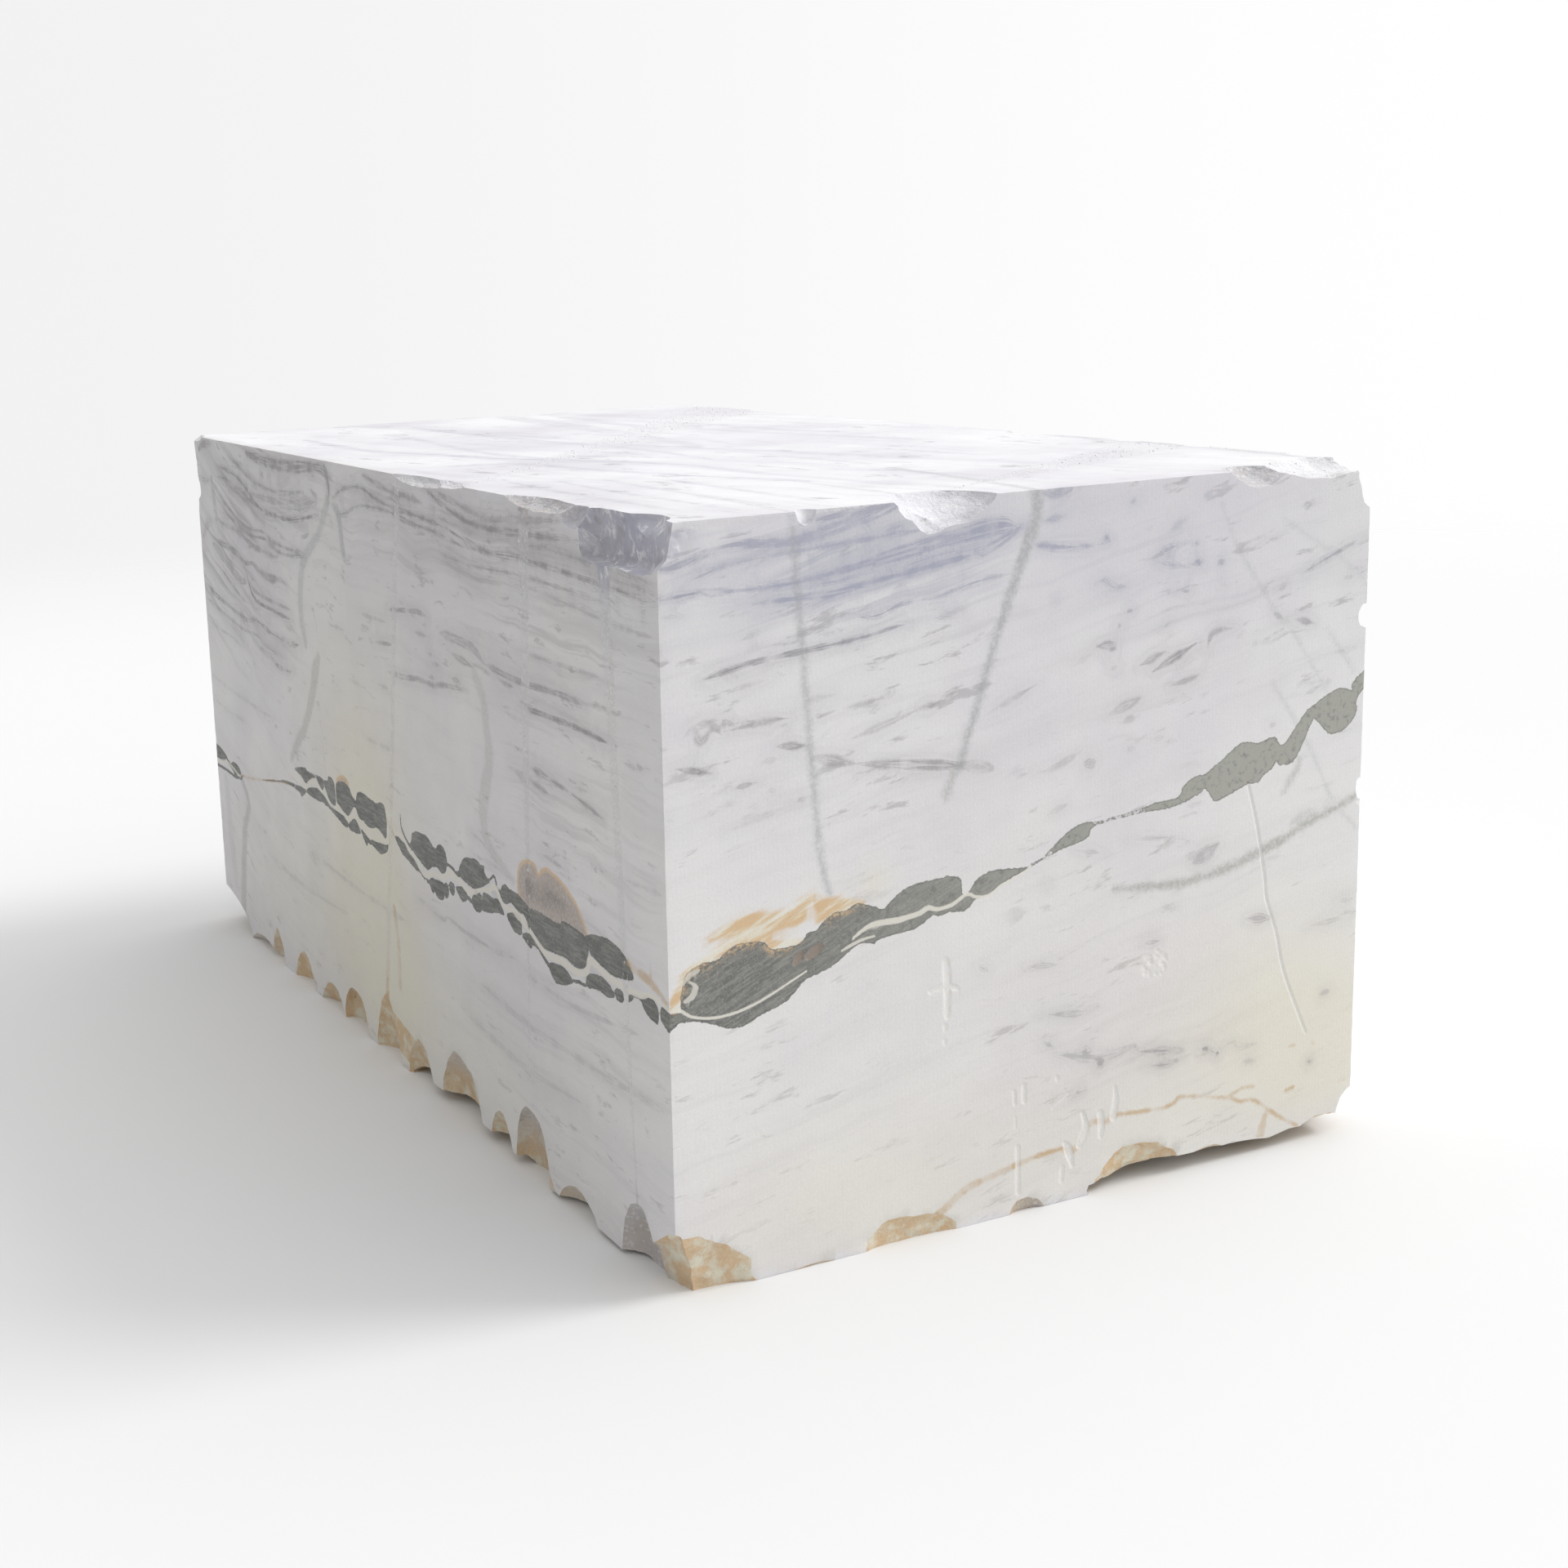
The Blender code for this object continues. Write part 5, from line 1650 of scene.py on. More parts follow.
@dataclass(frozen=True)
class Marks:
    """How the drawn markings are coloured in over the ground, their edges broken up by noise.

    Depths are in millimetres inside a marking's edge, and covers run from 0 to 1.
    """

    slope: float = 0.42
    thread: tuple = (0.014, 0.24, 3.0)
    mist_cover: float = 0.30
    streak_cover: float = 0.92
    vein_cover: float = 0.86
    hairline_cover: float = 0.88

    def sloped(self, wiring: Wiring, axes: object, along: float, across: float) -> bpy.types.NodeSocket:
        """A place stretched along the slope of the dark bed, by one scale along it and one across."""
        height = wiring.minus(axes["Z"], wiring.times(axes["X"], self.slope))
        times = wiring.times
        return wiring.joined(times(axes["X"], along), times(axes["Y"], along), times(height, across))

    def group(self, palette: Palette) -> bpy.types.NodeTree:
        """Draws every marking in turn, the dark rock and what crosses it last."""
        inputs = {
            "Place": ("NodeSocketVector", None),
            "Ground": ("NodeSocketColor", None),
            "Strength": ("NodeSocketFloat", 1.0),
        }
        outputs = {"Color": "NodeSocketColor", "Dark": "NodeSocketFloat"}
        wiring, given, out = with_sockets("stone_markings", "ShaderNodeTree", inputs, outputs)
        read, ramp, blend, times, noise = (
            wiring.read, wiring.ramp, wiring.blend, wiring.times, wiring.noise
        )
        place, strength = given["Place"], given["Strength"]
        fine = noise(place, 150.0, 4.0, 0.65)
        soft = noise(place, 34.0, 4.0, 0.6)
        axes = wiring.split(place)
        shade = given["Ground"]

        depth = read("streak_depth")
        ways = (read("streak_along"), depth, axes["Z"])
        thread = wiring.joined(*(times(way, scale) for way, scale in zip(ways, self.thread)))
        threads = noise(thread, 1.0, 5.0, 0.6)
        depth = wiring.wobbled(depth, (threads, 11.0), (soft, 9.0), (fine, 6.0))
        core = times(ramp(depth, -4.5, 4.5), read("streak_strength"))
        core = times(core, ramp(soft, 0.28, 0.60, (0.45, 1.0)), ramp(threads, 0.36, 0.56, (0.35, 1.15)))
        mist = times(read("smoke"), ramp(threads, 0.30, 0.66, (0.30, 1.0)))
        tone = blend(ramp(read("cool"), 0.0, 0.6), palette.smoke, palette.lavender)
        shade = blend(times(mist, times(strength, self.mist_cover)), shade, tone)
        shade = blend(times(core, times(strength, self.streak_cover)), shade, tone)

        depth = wiring.wobbled(read("vein_depth"), (soft, 15.0), (fine, 5.0))
        vein = times(ramp(depth, -8.0, 6.5), read("vein_strength"), ramp(fine, 0.30, 0.62, (0.50, 1.0)))
        tone = blend(read("vein_tint"), palette.vein_grey, palette.vein_olive)
        shade = blend(times(vein, times(strength, self.vein_cover)), shade, tone)

        depth = wiring.wobbled(read("halo_depth"), (soft, 9.0))
        tone = blend(ramp(depth, 2.0, 11.0), palette.ochre, palette.halo)
        tone = blend(ramp(depth, 14.0, 62.0), tone, palette.halo_core)
        shade = blend(times(ramp(depth, -3.5, 2.0), ramp(fine, 0.25, 0.65, (0.55, 0.95))), shade, tone)

        wisps = noise(self.sloped(wiring, axes, 11.0, 62.0), 1.0, 4.0, 0.6)
        stained = read("stain_depth")
        depth = wiring.wobbled(stained, (wisps, 12.0), (soft, 6.0))
        tone = blend(ramp(wisps, 0.35, 0.62), palette.cream, palette.ochre)
        shade = blend(times(ramp(depth, -9.0, 3.0), ramp(wisps, 0.28, 0.55, (0.55, 0.95))), shade, tone)

        depth = wiring.wobbled(read("dark_depth"), (fine, 7.0), (soft, 4.0))
        dark = ramp(depth, -1.1, 0.8)
        foliated = noise(self.sloped(wiring, axes, 22.0, 190.0), 1.0, 4.0, 0.65)
        rock = blend(ramp(axes["X"], -0.75, 0.42), palette.charcoal, palette.slate)
        rock = blend(ramp(foliated, 0.40, 0.66, (0.0, 0.45)), rock, palette.slate)
        rock = blend(ramp(noise(place, 330.0, 3.0, 0.75), 0.46, 0.70, (0.0, 0.50)), rock, palette.vein_olive)
        rock = blend(ramp(noise(place, 95.0, 3.0, 0.6), 0.50, 0.30, (0.0, 0.45)), rock, palette.charcoal)
        sand = times(ramp(stained, -12.0, 2.0, (0.0, 0.85)), ramp(fine, 0.40, 0.62))
        rock = blend(sand, rock, palette.ochre)
        rock = blend(ramp(depth, 0.4, 3.2, (0.55, 0.0)), rock, palette.charcoal)
        shade = blend(dark, shade, rock)

        hairline = ramp(wiring.wobbled(read("cream_depth"), (fine, 2.4)), -1.4, 0.8)
        hairline = times(hairline, read("cream_strength"), self.hairline_cover)
        shade = blend(hairline, shade, palette.calcite)

        depth = wiring.wobbled(read("rust_depth"), (soft, 6.0), (fine, 5.0))
        rust = times(ramp(depth, -4.0, 3.5), read("rust_strength"), ramp(soft, 0.35, 0.6, (0.30, 0.85)))
        wiring.feed(out.inputs["Color"], blend(rust, shade, palette.rust))
        wiring.feed(out.inputs["Dark"], dark)
        return wiring.tree


@dataclass(frozen=True)
class Grain:
    """The crystals of the marble and the lumps they stand in, as how many there are to a metre."""

    crystals: float = 420.0
    lumps: float = 160.0

    def group(self) -> bpy.types.NodeTree:
        """A height and a mask of the crystals, both about a half; on broken stone the mask also picks the
        crystals painted as glints.
        """
        inputs = {"Place": ("NodeSocketVector", None), "Coarseness": ("NodeSocketFloat", 1.0)}
        outputs = {"Height": "NodeSocketFloat", "Glint": "NodeSocketFloat"}
        wiring, given, out = with_sockets("crystal_grain", "ShaderNodeTree", inputs, outputs)
        place = wiring.shrunk(given["Place"], given["Coarseness"])
        cells = wiring.add("ShaderNodeTexVoronoi", Vector=place, Scale=self.crystals).outputs
        lumps = wiring.noise(place, self.lumps, 4.0, 0.6)
        wiring.feed(out.inputs["Height"], wiring.plus(wiring.times(cells["Distance"], 0.5), lumps))
        wiring.feed(out.inputs["Glint"], wiring.split(cells["Color"])["X"])
        return wiring.tree


@dataclass(frozen=True)
class Finish:
    """The finishes of the stone: what they share, and the depth in metres of their fine relief."""

    palette: Palette
    ground: bpy.types.NodeTree
    marks: bpy.types.NodeTree
    grain: bpy.types.NodeTree
    sawn_depth: float = 0.0006
    broken_depth: float = 0.0022
    saw_marks: float = 42.0
    saw_share: float = 0.12
    fibres: tuple = (70.0, 70.0, 11.0)
    fibre_turn: tuple = (0.5, 0.6, 0.8)

    def begin(self, name: str) -> tuple:
        """Starts a material.

        Args:
            name: the material's name.

        Returns:
            The material, its wiring, its shader's inputs and the place socket.
        """
        material = bpy.data.materials.new(name)
        material.use_nodes = True
        wiring = Wiring(material.node_tree)
        inputs = material.node_tree.nodes["Principled BSDF"].inputs
        return material, wiring, inputs, wiring.add("ShaderNodeTexCoord").outputs["Object"]

    def group(self, wiring: Wiring, tree: bpy.types.NodeTree, **feeds: object) -> bpy.types.NodeOutputs:
        """Places one of the shared groups in a material."""
        return wiring.add("ShaderNodeGroup", {"node_tree": tree}, **feeds).outputs

    def marked(self, wiring: Wiring, place: object, bedding: float, strength: float) -> object:
        """The ground with the drawn markings over it, each at its own strength."""
        ground = self.group(wiring, self.ground, Place=place, Bedding=bedding)
        return self.group(wiring, self.marks, Place=place, Ground=ground["Color"], Strength=strength)

    def raised(self, wiring: Wiring, inputs: object, height: object, strength: float, depth: float) -> None:
        """Feeds a shader's normal from a height."""
        bump = wiring.add("ShaderNodeBump", Strength=strength, Distance=depth, Height=height)
        wiring.feed(inputs["Normal"], bump.outputs["Normal"])

    def sawn(self) -> bpy.types.Material:
        """The sawn and weathered walls."""
        material, wiring, inputs, place = self.begin("sawn_marble")
        palette, ramp, blend = self.palette, wiring.ramp, wiring.blend
        marked = self.marked(wiring, place, 1.0, 1.0)
        grain = self.group(wiring, self.grain, Place=place, Coarseness=0.8)
        mottle = wiring.noise(place, 300.0, 3.0, 0.7)
        cut = blend(ramp(mottle, 0.40, 0.60), palette.calcite, palette.sugar_white_and_highlight)
        cut = blend(marked["Dark"], cut, palette.brown)
        shade = blend(ramp(wiring.read("carved"), 0.15, 1.1, (0.0, 0.75)), marked["Color"], cut)
        shade = blend(ramp(mottle, 0.25, 0.75, (0.0, 0.10)), shade, palette.smoke)
        wiring.feed(inputs["Base Color"], shade)
        rough = wiring.noise(place, 11.0, 5.0, 0.65)
        wiring.feed(inputs["Roughness"], ramp(rough, 0.3, 0.7, (0.46, 0.66)))
        slanted = wiring.stretched(place, (1.0, 1.0, 0.03))
        wave = {"Vector": slanted, "Scale": self.saw_marks, "Distortion": 1.2, "Detail": 2.0}
        saw = wiring.add("ShaderNodeTexWave", {"bands_direction": "X"}, **wave).outputs["Fac"]
        relief = wiring.plus(grain["Height"], wiring.times(saw, self.saw_share))
        self.raised(wiring, inputs, relief, 0.5, self.sawn_depth)
        inputs["Specular IOR Level"].default_value = 0.42
        return material

    def broken(self) -> bpy.types.Material:
        """The spalled stone along the arrises and under the foot."""
        material, wiring, inputs, place = self.begin("broken_marble")
        palette, ramp, blend, times = self.palette, wiring.ramp, wiring.blend, wiring.times
        marked = self.marked(wiring, place, 0.6, 0.6)
        grain = self.group(wiring, self.grain, Place=place, Coarseness=2.2)
        fine = wiring.noise(place, 190.0, 5.0, 0.7)
        wide = wiring.noise(place, 30.0, 4.0, 0.6)
        glint, ochre, purple = grain["Glint"], wiring.read("chip_ochre"), wiring.read("chip_violet")
        rough = wiring.minus(1.0, wiring.read("chip_calm"))
        grey = blend(ramp(wide, 0.40, 0.62), palette.smoke, palette.brown)
        shade = blend(times(wiring.read("chip_grey"), 0.8), marked["Color"], grey)
        sand = blend(ramp(wide, 0.42, 0.66), palette.ochre, palette.cream)
        sand = blend(ramp(fine, 0.52, 0.70, (0.0, 0.6)), sand, palette.calcite)
        shade = blend(times(ochre, 0.9), shade, sand)
        shade = blend(times(ramp(fine, 0.56, 0.78, (0.0, 0.4)), rough), shade, palette.smoke)
        plain = wiring.math("SUBTRACT", 1.0, wiring.math("MAXIMUM", purple, ochre), clamp=True)
        # The brightest crystal cells are painted near-white: painted glints on the broken stone.
        shade = blend(times(ramp(glint, 0.78, 0.97, (0.0, 0.5)), rough, plain), shade, palette.sugar_white_and_highlight)
        turned = wiring.add("ShaderNodeMapping", Vector=place, Rotation=self.fibre_turn).outputs[0]
        fibres = wiring.noise(wiring.stretched(turned, self.fibres), 1.0, 4.0, 0.65)
        white = times(ramp(fibres, 0.47, 0.62), ramp(wide, 0.38, 0.60))
        violet = blend(white, palette.violet, palette.sugar_white_and_highlight)
        violet = blend(ramp(wide, 0.42, 0.30), violet, palette.smoke)
        wiring.feed(inputs["Base Color"], blend(times(purple, 0.9), shade, violet))
        wiring.feed(inputs["Roughness"], ramp(glint, 0.0, 1.0, (0.72, 0.45)))
        relief = wiring.plus(grain["Height"], times(fine, 1.2))
        relief = times(relief, wiring.math("MAXIMUM", rough, 0.1))
        self.raised(wiring, inputs, relief, 0.9, self.broken_depth)
        return material

    def crumb(self) -> bpy.types.Material:
        """The loose crystals that cling to fresh breaks."""
        material, wiring, inputs, place = self.begin("marble_crumbs")
        palette, ramp = self.palette, wiring.ramp
        glint = self.group(wiring, self.grain, Place=place, Coarseness=1.4)["Glint"]
        tone = wiring.blend(ramp(glint, 0.1, 0.8), palette.milk, palette.sugar_white_and_highlight)
        tone = wiring.blend(wiring.times(wiring.read("chip_ochre"), 0.5), tone, palette.ochre)
        wiring.feed(inputs["Base Color"], tone)
        wiring.feed(inputs["Roughness"], ramp(glint, 0.0, 1.0, (0.6, 0.4)))
        return material


def build_finish() -> Finish:
    """Builds the shared groups once."""
    palette = Palette()
    return Finish(palette, Ground().group(palette), Marks().group(palette), Grain().group())


# ---------------------------------------------------------------- broken stone


@dataclass(frozen=True)
class ChipTone:
    """A round of broken stone with a tone of its own, in metres."""

    tone: str
    middle: tuple
    reach: tuple
    strength: float


CHIP_TONES: tuple[ChipTone, ...] = (
    ChipTone("chip_violet", (-0.69, -1.17, 1.18), (0.10, 0.19, 0.10), 1.3),
    ChipTone("chip_violet", (-0.16, -1.24, 1.19), (0.10, 0.07, 0.03), 0.25),
    ChipTone("chip_calm", (-0.52, -1.33, 1.15), (0.13, 0.20, 0.14), 2.5),
    ChipTone("chip_grey", (-0.66, -0.88, 1.19), (0.06, 0.16, 0.03), 0.55),
    ChipTone("chip_grey", (0.45, -1.28, 1.19), (0.08, 0.08, 0.03), 0.40),
    ChipTone("chip_ochre", (-0.60, -1.31, 0.05), (0.20, 0.10, 0.14), 1.6),
    ChipTone("chip_ochre", (-0.25, -1.31, 0.02), (0.20, 0.10, 0.12), 1.6),
    ChipTone("chip_grey", (-0.03, -1.31, 0.02), (0.06, 0.06, 0.05), 0.9),
    ChipTone("chip_ochre", (0.195, -1.31, 0.03), (0.16, 0.10, 0.12), 1.1),
    ChipTone("chip_ochre", (0.58, -1.30, 0.02), (0.30, 0.10, 0.12), 1.2),
    ChipTone("chip_grey", (-0.66, -1.17, 0.05), (0.05, 0.08, 0.07), 0.8),
    ChipTone("chip_grey", (-0.66, -0.72, 0.06), (0.05, 0.10, 0.09), 0.6),
    ChipTone("chip_grey", (-0.66, -0.36, 0.06), (0.05, 0.12, 0.09), 0.7),
    ChipTone("chip_ochre", (-0.66, -0.20, 0.00), (0.10, 0.75, 0.09), 1.3),
    ChipTone("chip_ochre", (-0.66, 0.35, 0.05), (0.10, 0.65, 0.14), 1.4),
    ChipTone("chip_ochre", (-0.66, 1.10, 0.06), (0.10, 0.30, 0.10), 0.6),
    ChipTone("chip_grey", (-0.66, 0.86, 0.05), (0.05, 0.06, 0.06), 0.5),
    ChipTone("chip_ochre", (0.66, 0.00, 0.02), (0.10, 1.40, 0.08), 0.6),
    ChipTone("chip_ochre", (0.00, 1.31, 0.02), (0.70, 0.10, 0.08), 0.6),
    ChipTone("chip_grey", (0.66, -0.30, 1.18), (0.06, 0.12, 0.05), 0.5),
    ChipTone("chip_grey", (0.21, 1.31, 1.18), (0.14, 0.06, 0.05), 0.5),
)


def stone_tree(name: str, inputs: dict) -> tuple:
    """Starts a Geometry Nodes tree that takes the stone and some sizes, and gives stone."""
    kinds = {float: "NodeSocketFloat", int: "NodeSocketInt"}
    sockets = {"Stone": ("NodeSocketGeometry", None)}
    sockets |= {label: (kinds[type(value)], value) for label, value in inputs.items()}
    return with_sockets(name, "GeometryNodeTree", sockets, {"Stone": "NodeSocketGeometry"})


def named(wiring: Wiring, name: str, kind: str) -> bpy.types.NodeSocket:
    """Reads a named attribute in a Geometry Nodes tree."""
    node = wiring.add("GeometryNodeInputNamedAttribute", {"data_type": kind}, Name=name)
    return next(socket for socket in node.outputs if socket.enabled and socket.name == "Attribute")


def dressed(wiring: Wiring, made: object, material: object, chosen: object, out: object) -> object:
    """Ends a tree: its instances realized, and the chosen faces given a material."""
    real = wiring.add("GeometryNodeRealizeInstances", Geometry=made).outputs[0]
    feeds = {"Geometry": real, "Selection": chosen, "Material": material}
    wiring.feed(out.inputs["Stone"], wiring.add("GeometryNodeSetMaterial", **feeds).outputs[0])
    return wiring.tree


@dataclass(frozen=True)
class FractureRelief:
    """The fine relief of broken stone, in metres."""

    inside: float = 0.0026
    rim: float = 0.0022
    arris: float = 0.0014
    share_of_depth: float = 0.6
    calmed: float = 0.9
    lump: float = 0.030
    grit: float = 0.008
    ledge: float = 0.016

    def inputs(self) -> dict:
        """The tree's sizes, by input name."""
        return {"Lump": self.lump, "Grit": self.grit, "Ledge": self.ledge}

    def tree(self, material: bpy.types.Material) -> bpy.types.NodeTree:
        """Geometry Nodes that push each point along its own way by layered noise.

        Args:
            material: what the broken faces are made of.

        Returns:
            The tree.
        """
        wiring, given, out = stone_tree("fracture_relief", self.inputs())
        times, minus = wiring.times, wiring.minus
        place = wiring.add("GeometryNodeInputPosition").outputs[0]
        inward = named(wiring, "inward", "FLOAT")
        layers = (
            (given["Lump"], (1.0, 1.0, 1.6), 0.55),
            (given["Grit"], (1.0, 1.0, 1.3), 0.30),
            (given["Ledge"], (0.25, 0.25, 1.8), 0.45),
        )
        total = 0.0
        for size, scale, weight in layers:
            spread = wiring.shrunk(wiring.stretched(place, scale), size)
            height = minus(wiring.noise(spread, 1.0, 2.0, 0.55), 0.5)
            total = wiring.plus(times(height, 4.0 * weight), total)
        level = wiring.math("MAXIMUM", wiring.math("MINIMUM", total, 1.0), -1.0)
        either_way = times(level, minus(1.0, inward))
        amount = wiring.plus(either_way, times(times(minus(level, 1.0), 0.5), inward))
        way = wiring.vector("SCALE", named(wiring, "push", "FLOAT_VECTOR"), amount).outputs[0]
        moved = wiring.add("GeometryNodeSetPosition", Geometry=given["Stone"], Offset=way)
        chosen = wiring.math("GREATER_THAN", named(wiring, "broken", "FLOAT"), 0.5)
        return dressed(wiring, moved.outputs[0], material, chosen, out)


@dataclass(frozen=True)
class Crumbs:
    """The loose crystals on fresh breaks: how many to a square metre, how large and how high up."""

    density: float = 800.0
    lowest: float = 1.08
    growing: float = 0.08
    smallest: float = 0.0008
    largest: float = 0.0026
    seed: int = 3

    def inputs(self) -> dict:
        """The tree's sizes and its seed, by input name."""
        names = ("Density", "Smallest", "Largest", "Seed")
        return dict(zip(names, (self.density, self.smallest, self.largest, self.seed)))

    def tree(self, material: bpy.types.Material) -> bpy.types.NodeTree:
        """Geometry Nodes that scatter crystals where the crumble attribute says.

        Args:
            material: what the crystals are made of.

        Returns:
            The tree, which gives the crystals alone.
        """
        wiring, given, out = stone_tree("scattered_crumbs", self.inputs())
        seed = given["Seed"]
        density = wiring.times(named(wiring, "crumble", "FLOAT"), given["Density"])
        spread = wiring.add(
            "GeometryNodeDistributePointsOnFaces", Mesh=given["Stone"], Density=density, Seed=seed
        )
        crystal = wiring.add("GeometryNodeMeshIcoSphere", Radius=1.0, Subdivisions=1)
        size = wiring.add("FunctionNodeRandomValue", {"data_type": "FLOAT"}, Seed=seed)
        wiring.feed_each(size.inputs[2:4], (given["Smallest"], given["Largest"]))
        turn = wiring.add("FunctionNodeRandomValue", {"data_type": "FLOAT_VECTOR"}, Seed=seed)
        wiring.feed(turn.inputs[1], (math.tau, math.tau, math.tau))
        placed = wiring.add(
            "GeometryNodeInstanceOnPoints",
            Points=spread.outputs["Points"],
            Instance=crystal.outputs["Mesh"],
            Rotation=turn.outputs[0],
            Scale=size.outputs[1],
        )
        return dressed(wiring, placed.outputs[0], material, True, out)


def applied(held: bpy.types.Object, tree: bpy.types.NodeTree, values: dict) -> bpy.types.Mesh:
    """Runs a Geometry Nodes tree on an object and gives the plain mesh that comes out.

    Args:
        held: the object, which keeps its own mesh.
        tree: the tree.
        values: the tree's inputs, by name.

    Returns:
        The new mesh.
    """
    modifier = held.modifiers.new(tree.name, "NODES")
    modifier.node_group = tree
    for item in tree.interface.items_tree:
        if item.item_type == "SOCKET" and item.in_out == "INPUT" and item.name in values:
            modifier[item.identifier] = values[item.name]
    held.update_tag()
    bpy.context.view_layer.update()
    evaluated = held.evaluated_get(bpy.context.evaluated_depsgraph_get())
    made = bpy.data.meshes.new_from_object(evaluated)
    held.modifiers.remove(modifier)
    return made


# ---------------------------------------------------------------- the colour atlas


def rows_of(collection: object, key: str, width: int, kind: type = float) -> np.ndarray:
    """A property of every element of a mesh, as rows of so many numbers."""
    values = np.zeros(len(collection) * width, kind)
    collection.foreach_get(key, values)
    return values.reshape(-1, width)


@dataclass(frozen=True)
class Atlas:
    """Lays the six faces out side by side on one square, to the same scale, the foot at half."""

    margin: float = 0.02
    foot_scale: float = 0.5

    def corners(self, size: Vector) -> tuple[dict, float]:
        """Where each face goes, and how wide the whole square is.

        Args:
            size: the block's width, length and height.

        Returns:
            The lower left corner of each face, and the side of the square, in metres.
        """
        width, length, height = size
        gap = self.margin
        second, third = height + 2 * gap, 2 * height + 3 * gap
        corners = {
            Side.LEFT: (gap, gap),
            Side.FRONT: (length + 2 * gap, gap),
            Side.RIGHT: (gap, second),
            Side.BACK: (length + 2 * gap, second),
            Side.TOP: (gap, third),
            Side.FOOT: (length + 2 * gap, third),
        }
        side = max(length + width + 3 * gap, third + width + gap)
        return corners, side

    def lay(self, mesh: bpy.types.Mesh, sides: np.ndarray) -> None:
        """Writes the layout as the mesh's UV map.

        Args:
            mesh: the block's mesh, all triangles.
            sides: the number of each triangle's face, in the order of Side.
        """
        points = rows_of(mesh.vertices, "co", 3)
        low, high = points.min(axis=0), points.max(axis=0)
        corners, square = self.corners(Vector(high - low))
        placed = points[rows_of(mesh.loops, "vertex_index", 1, np.int32).ravel()]
        side_of = np.repeat(sides, 3)
        uv = np.zeros((len(placed), 2))
        for number, side in enumerate(Side):
            chosen = side_of == number
            first, second = (1, 0) if side.across == 2 else side.along
            scale = self.foot_scale if side is Side.FOOT else 1.0
            uv[chosen, 0] = corners[side][0] + scale * (placed[chosen, first] - low[first])
            uv[chosen, 1] = corners[side][1] + scale * (placed[chosen, second] - low[second])
        layer = mesh.uv_layers.new(name="OFBake")
        layer.data.foreach_set("uv", (uv / square).ravel())


# ---------------------------------------------------------------- the block


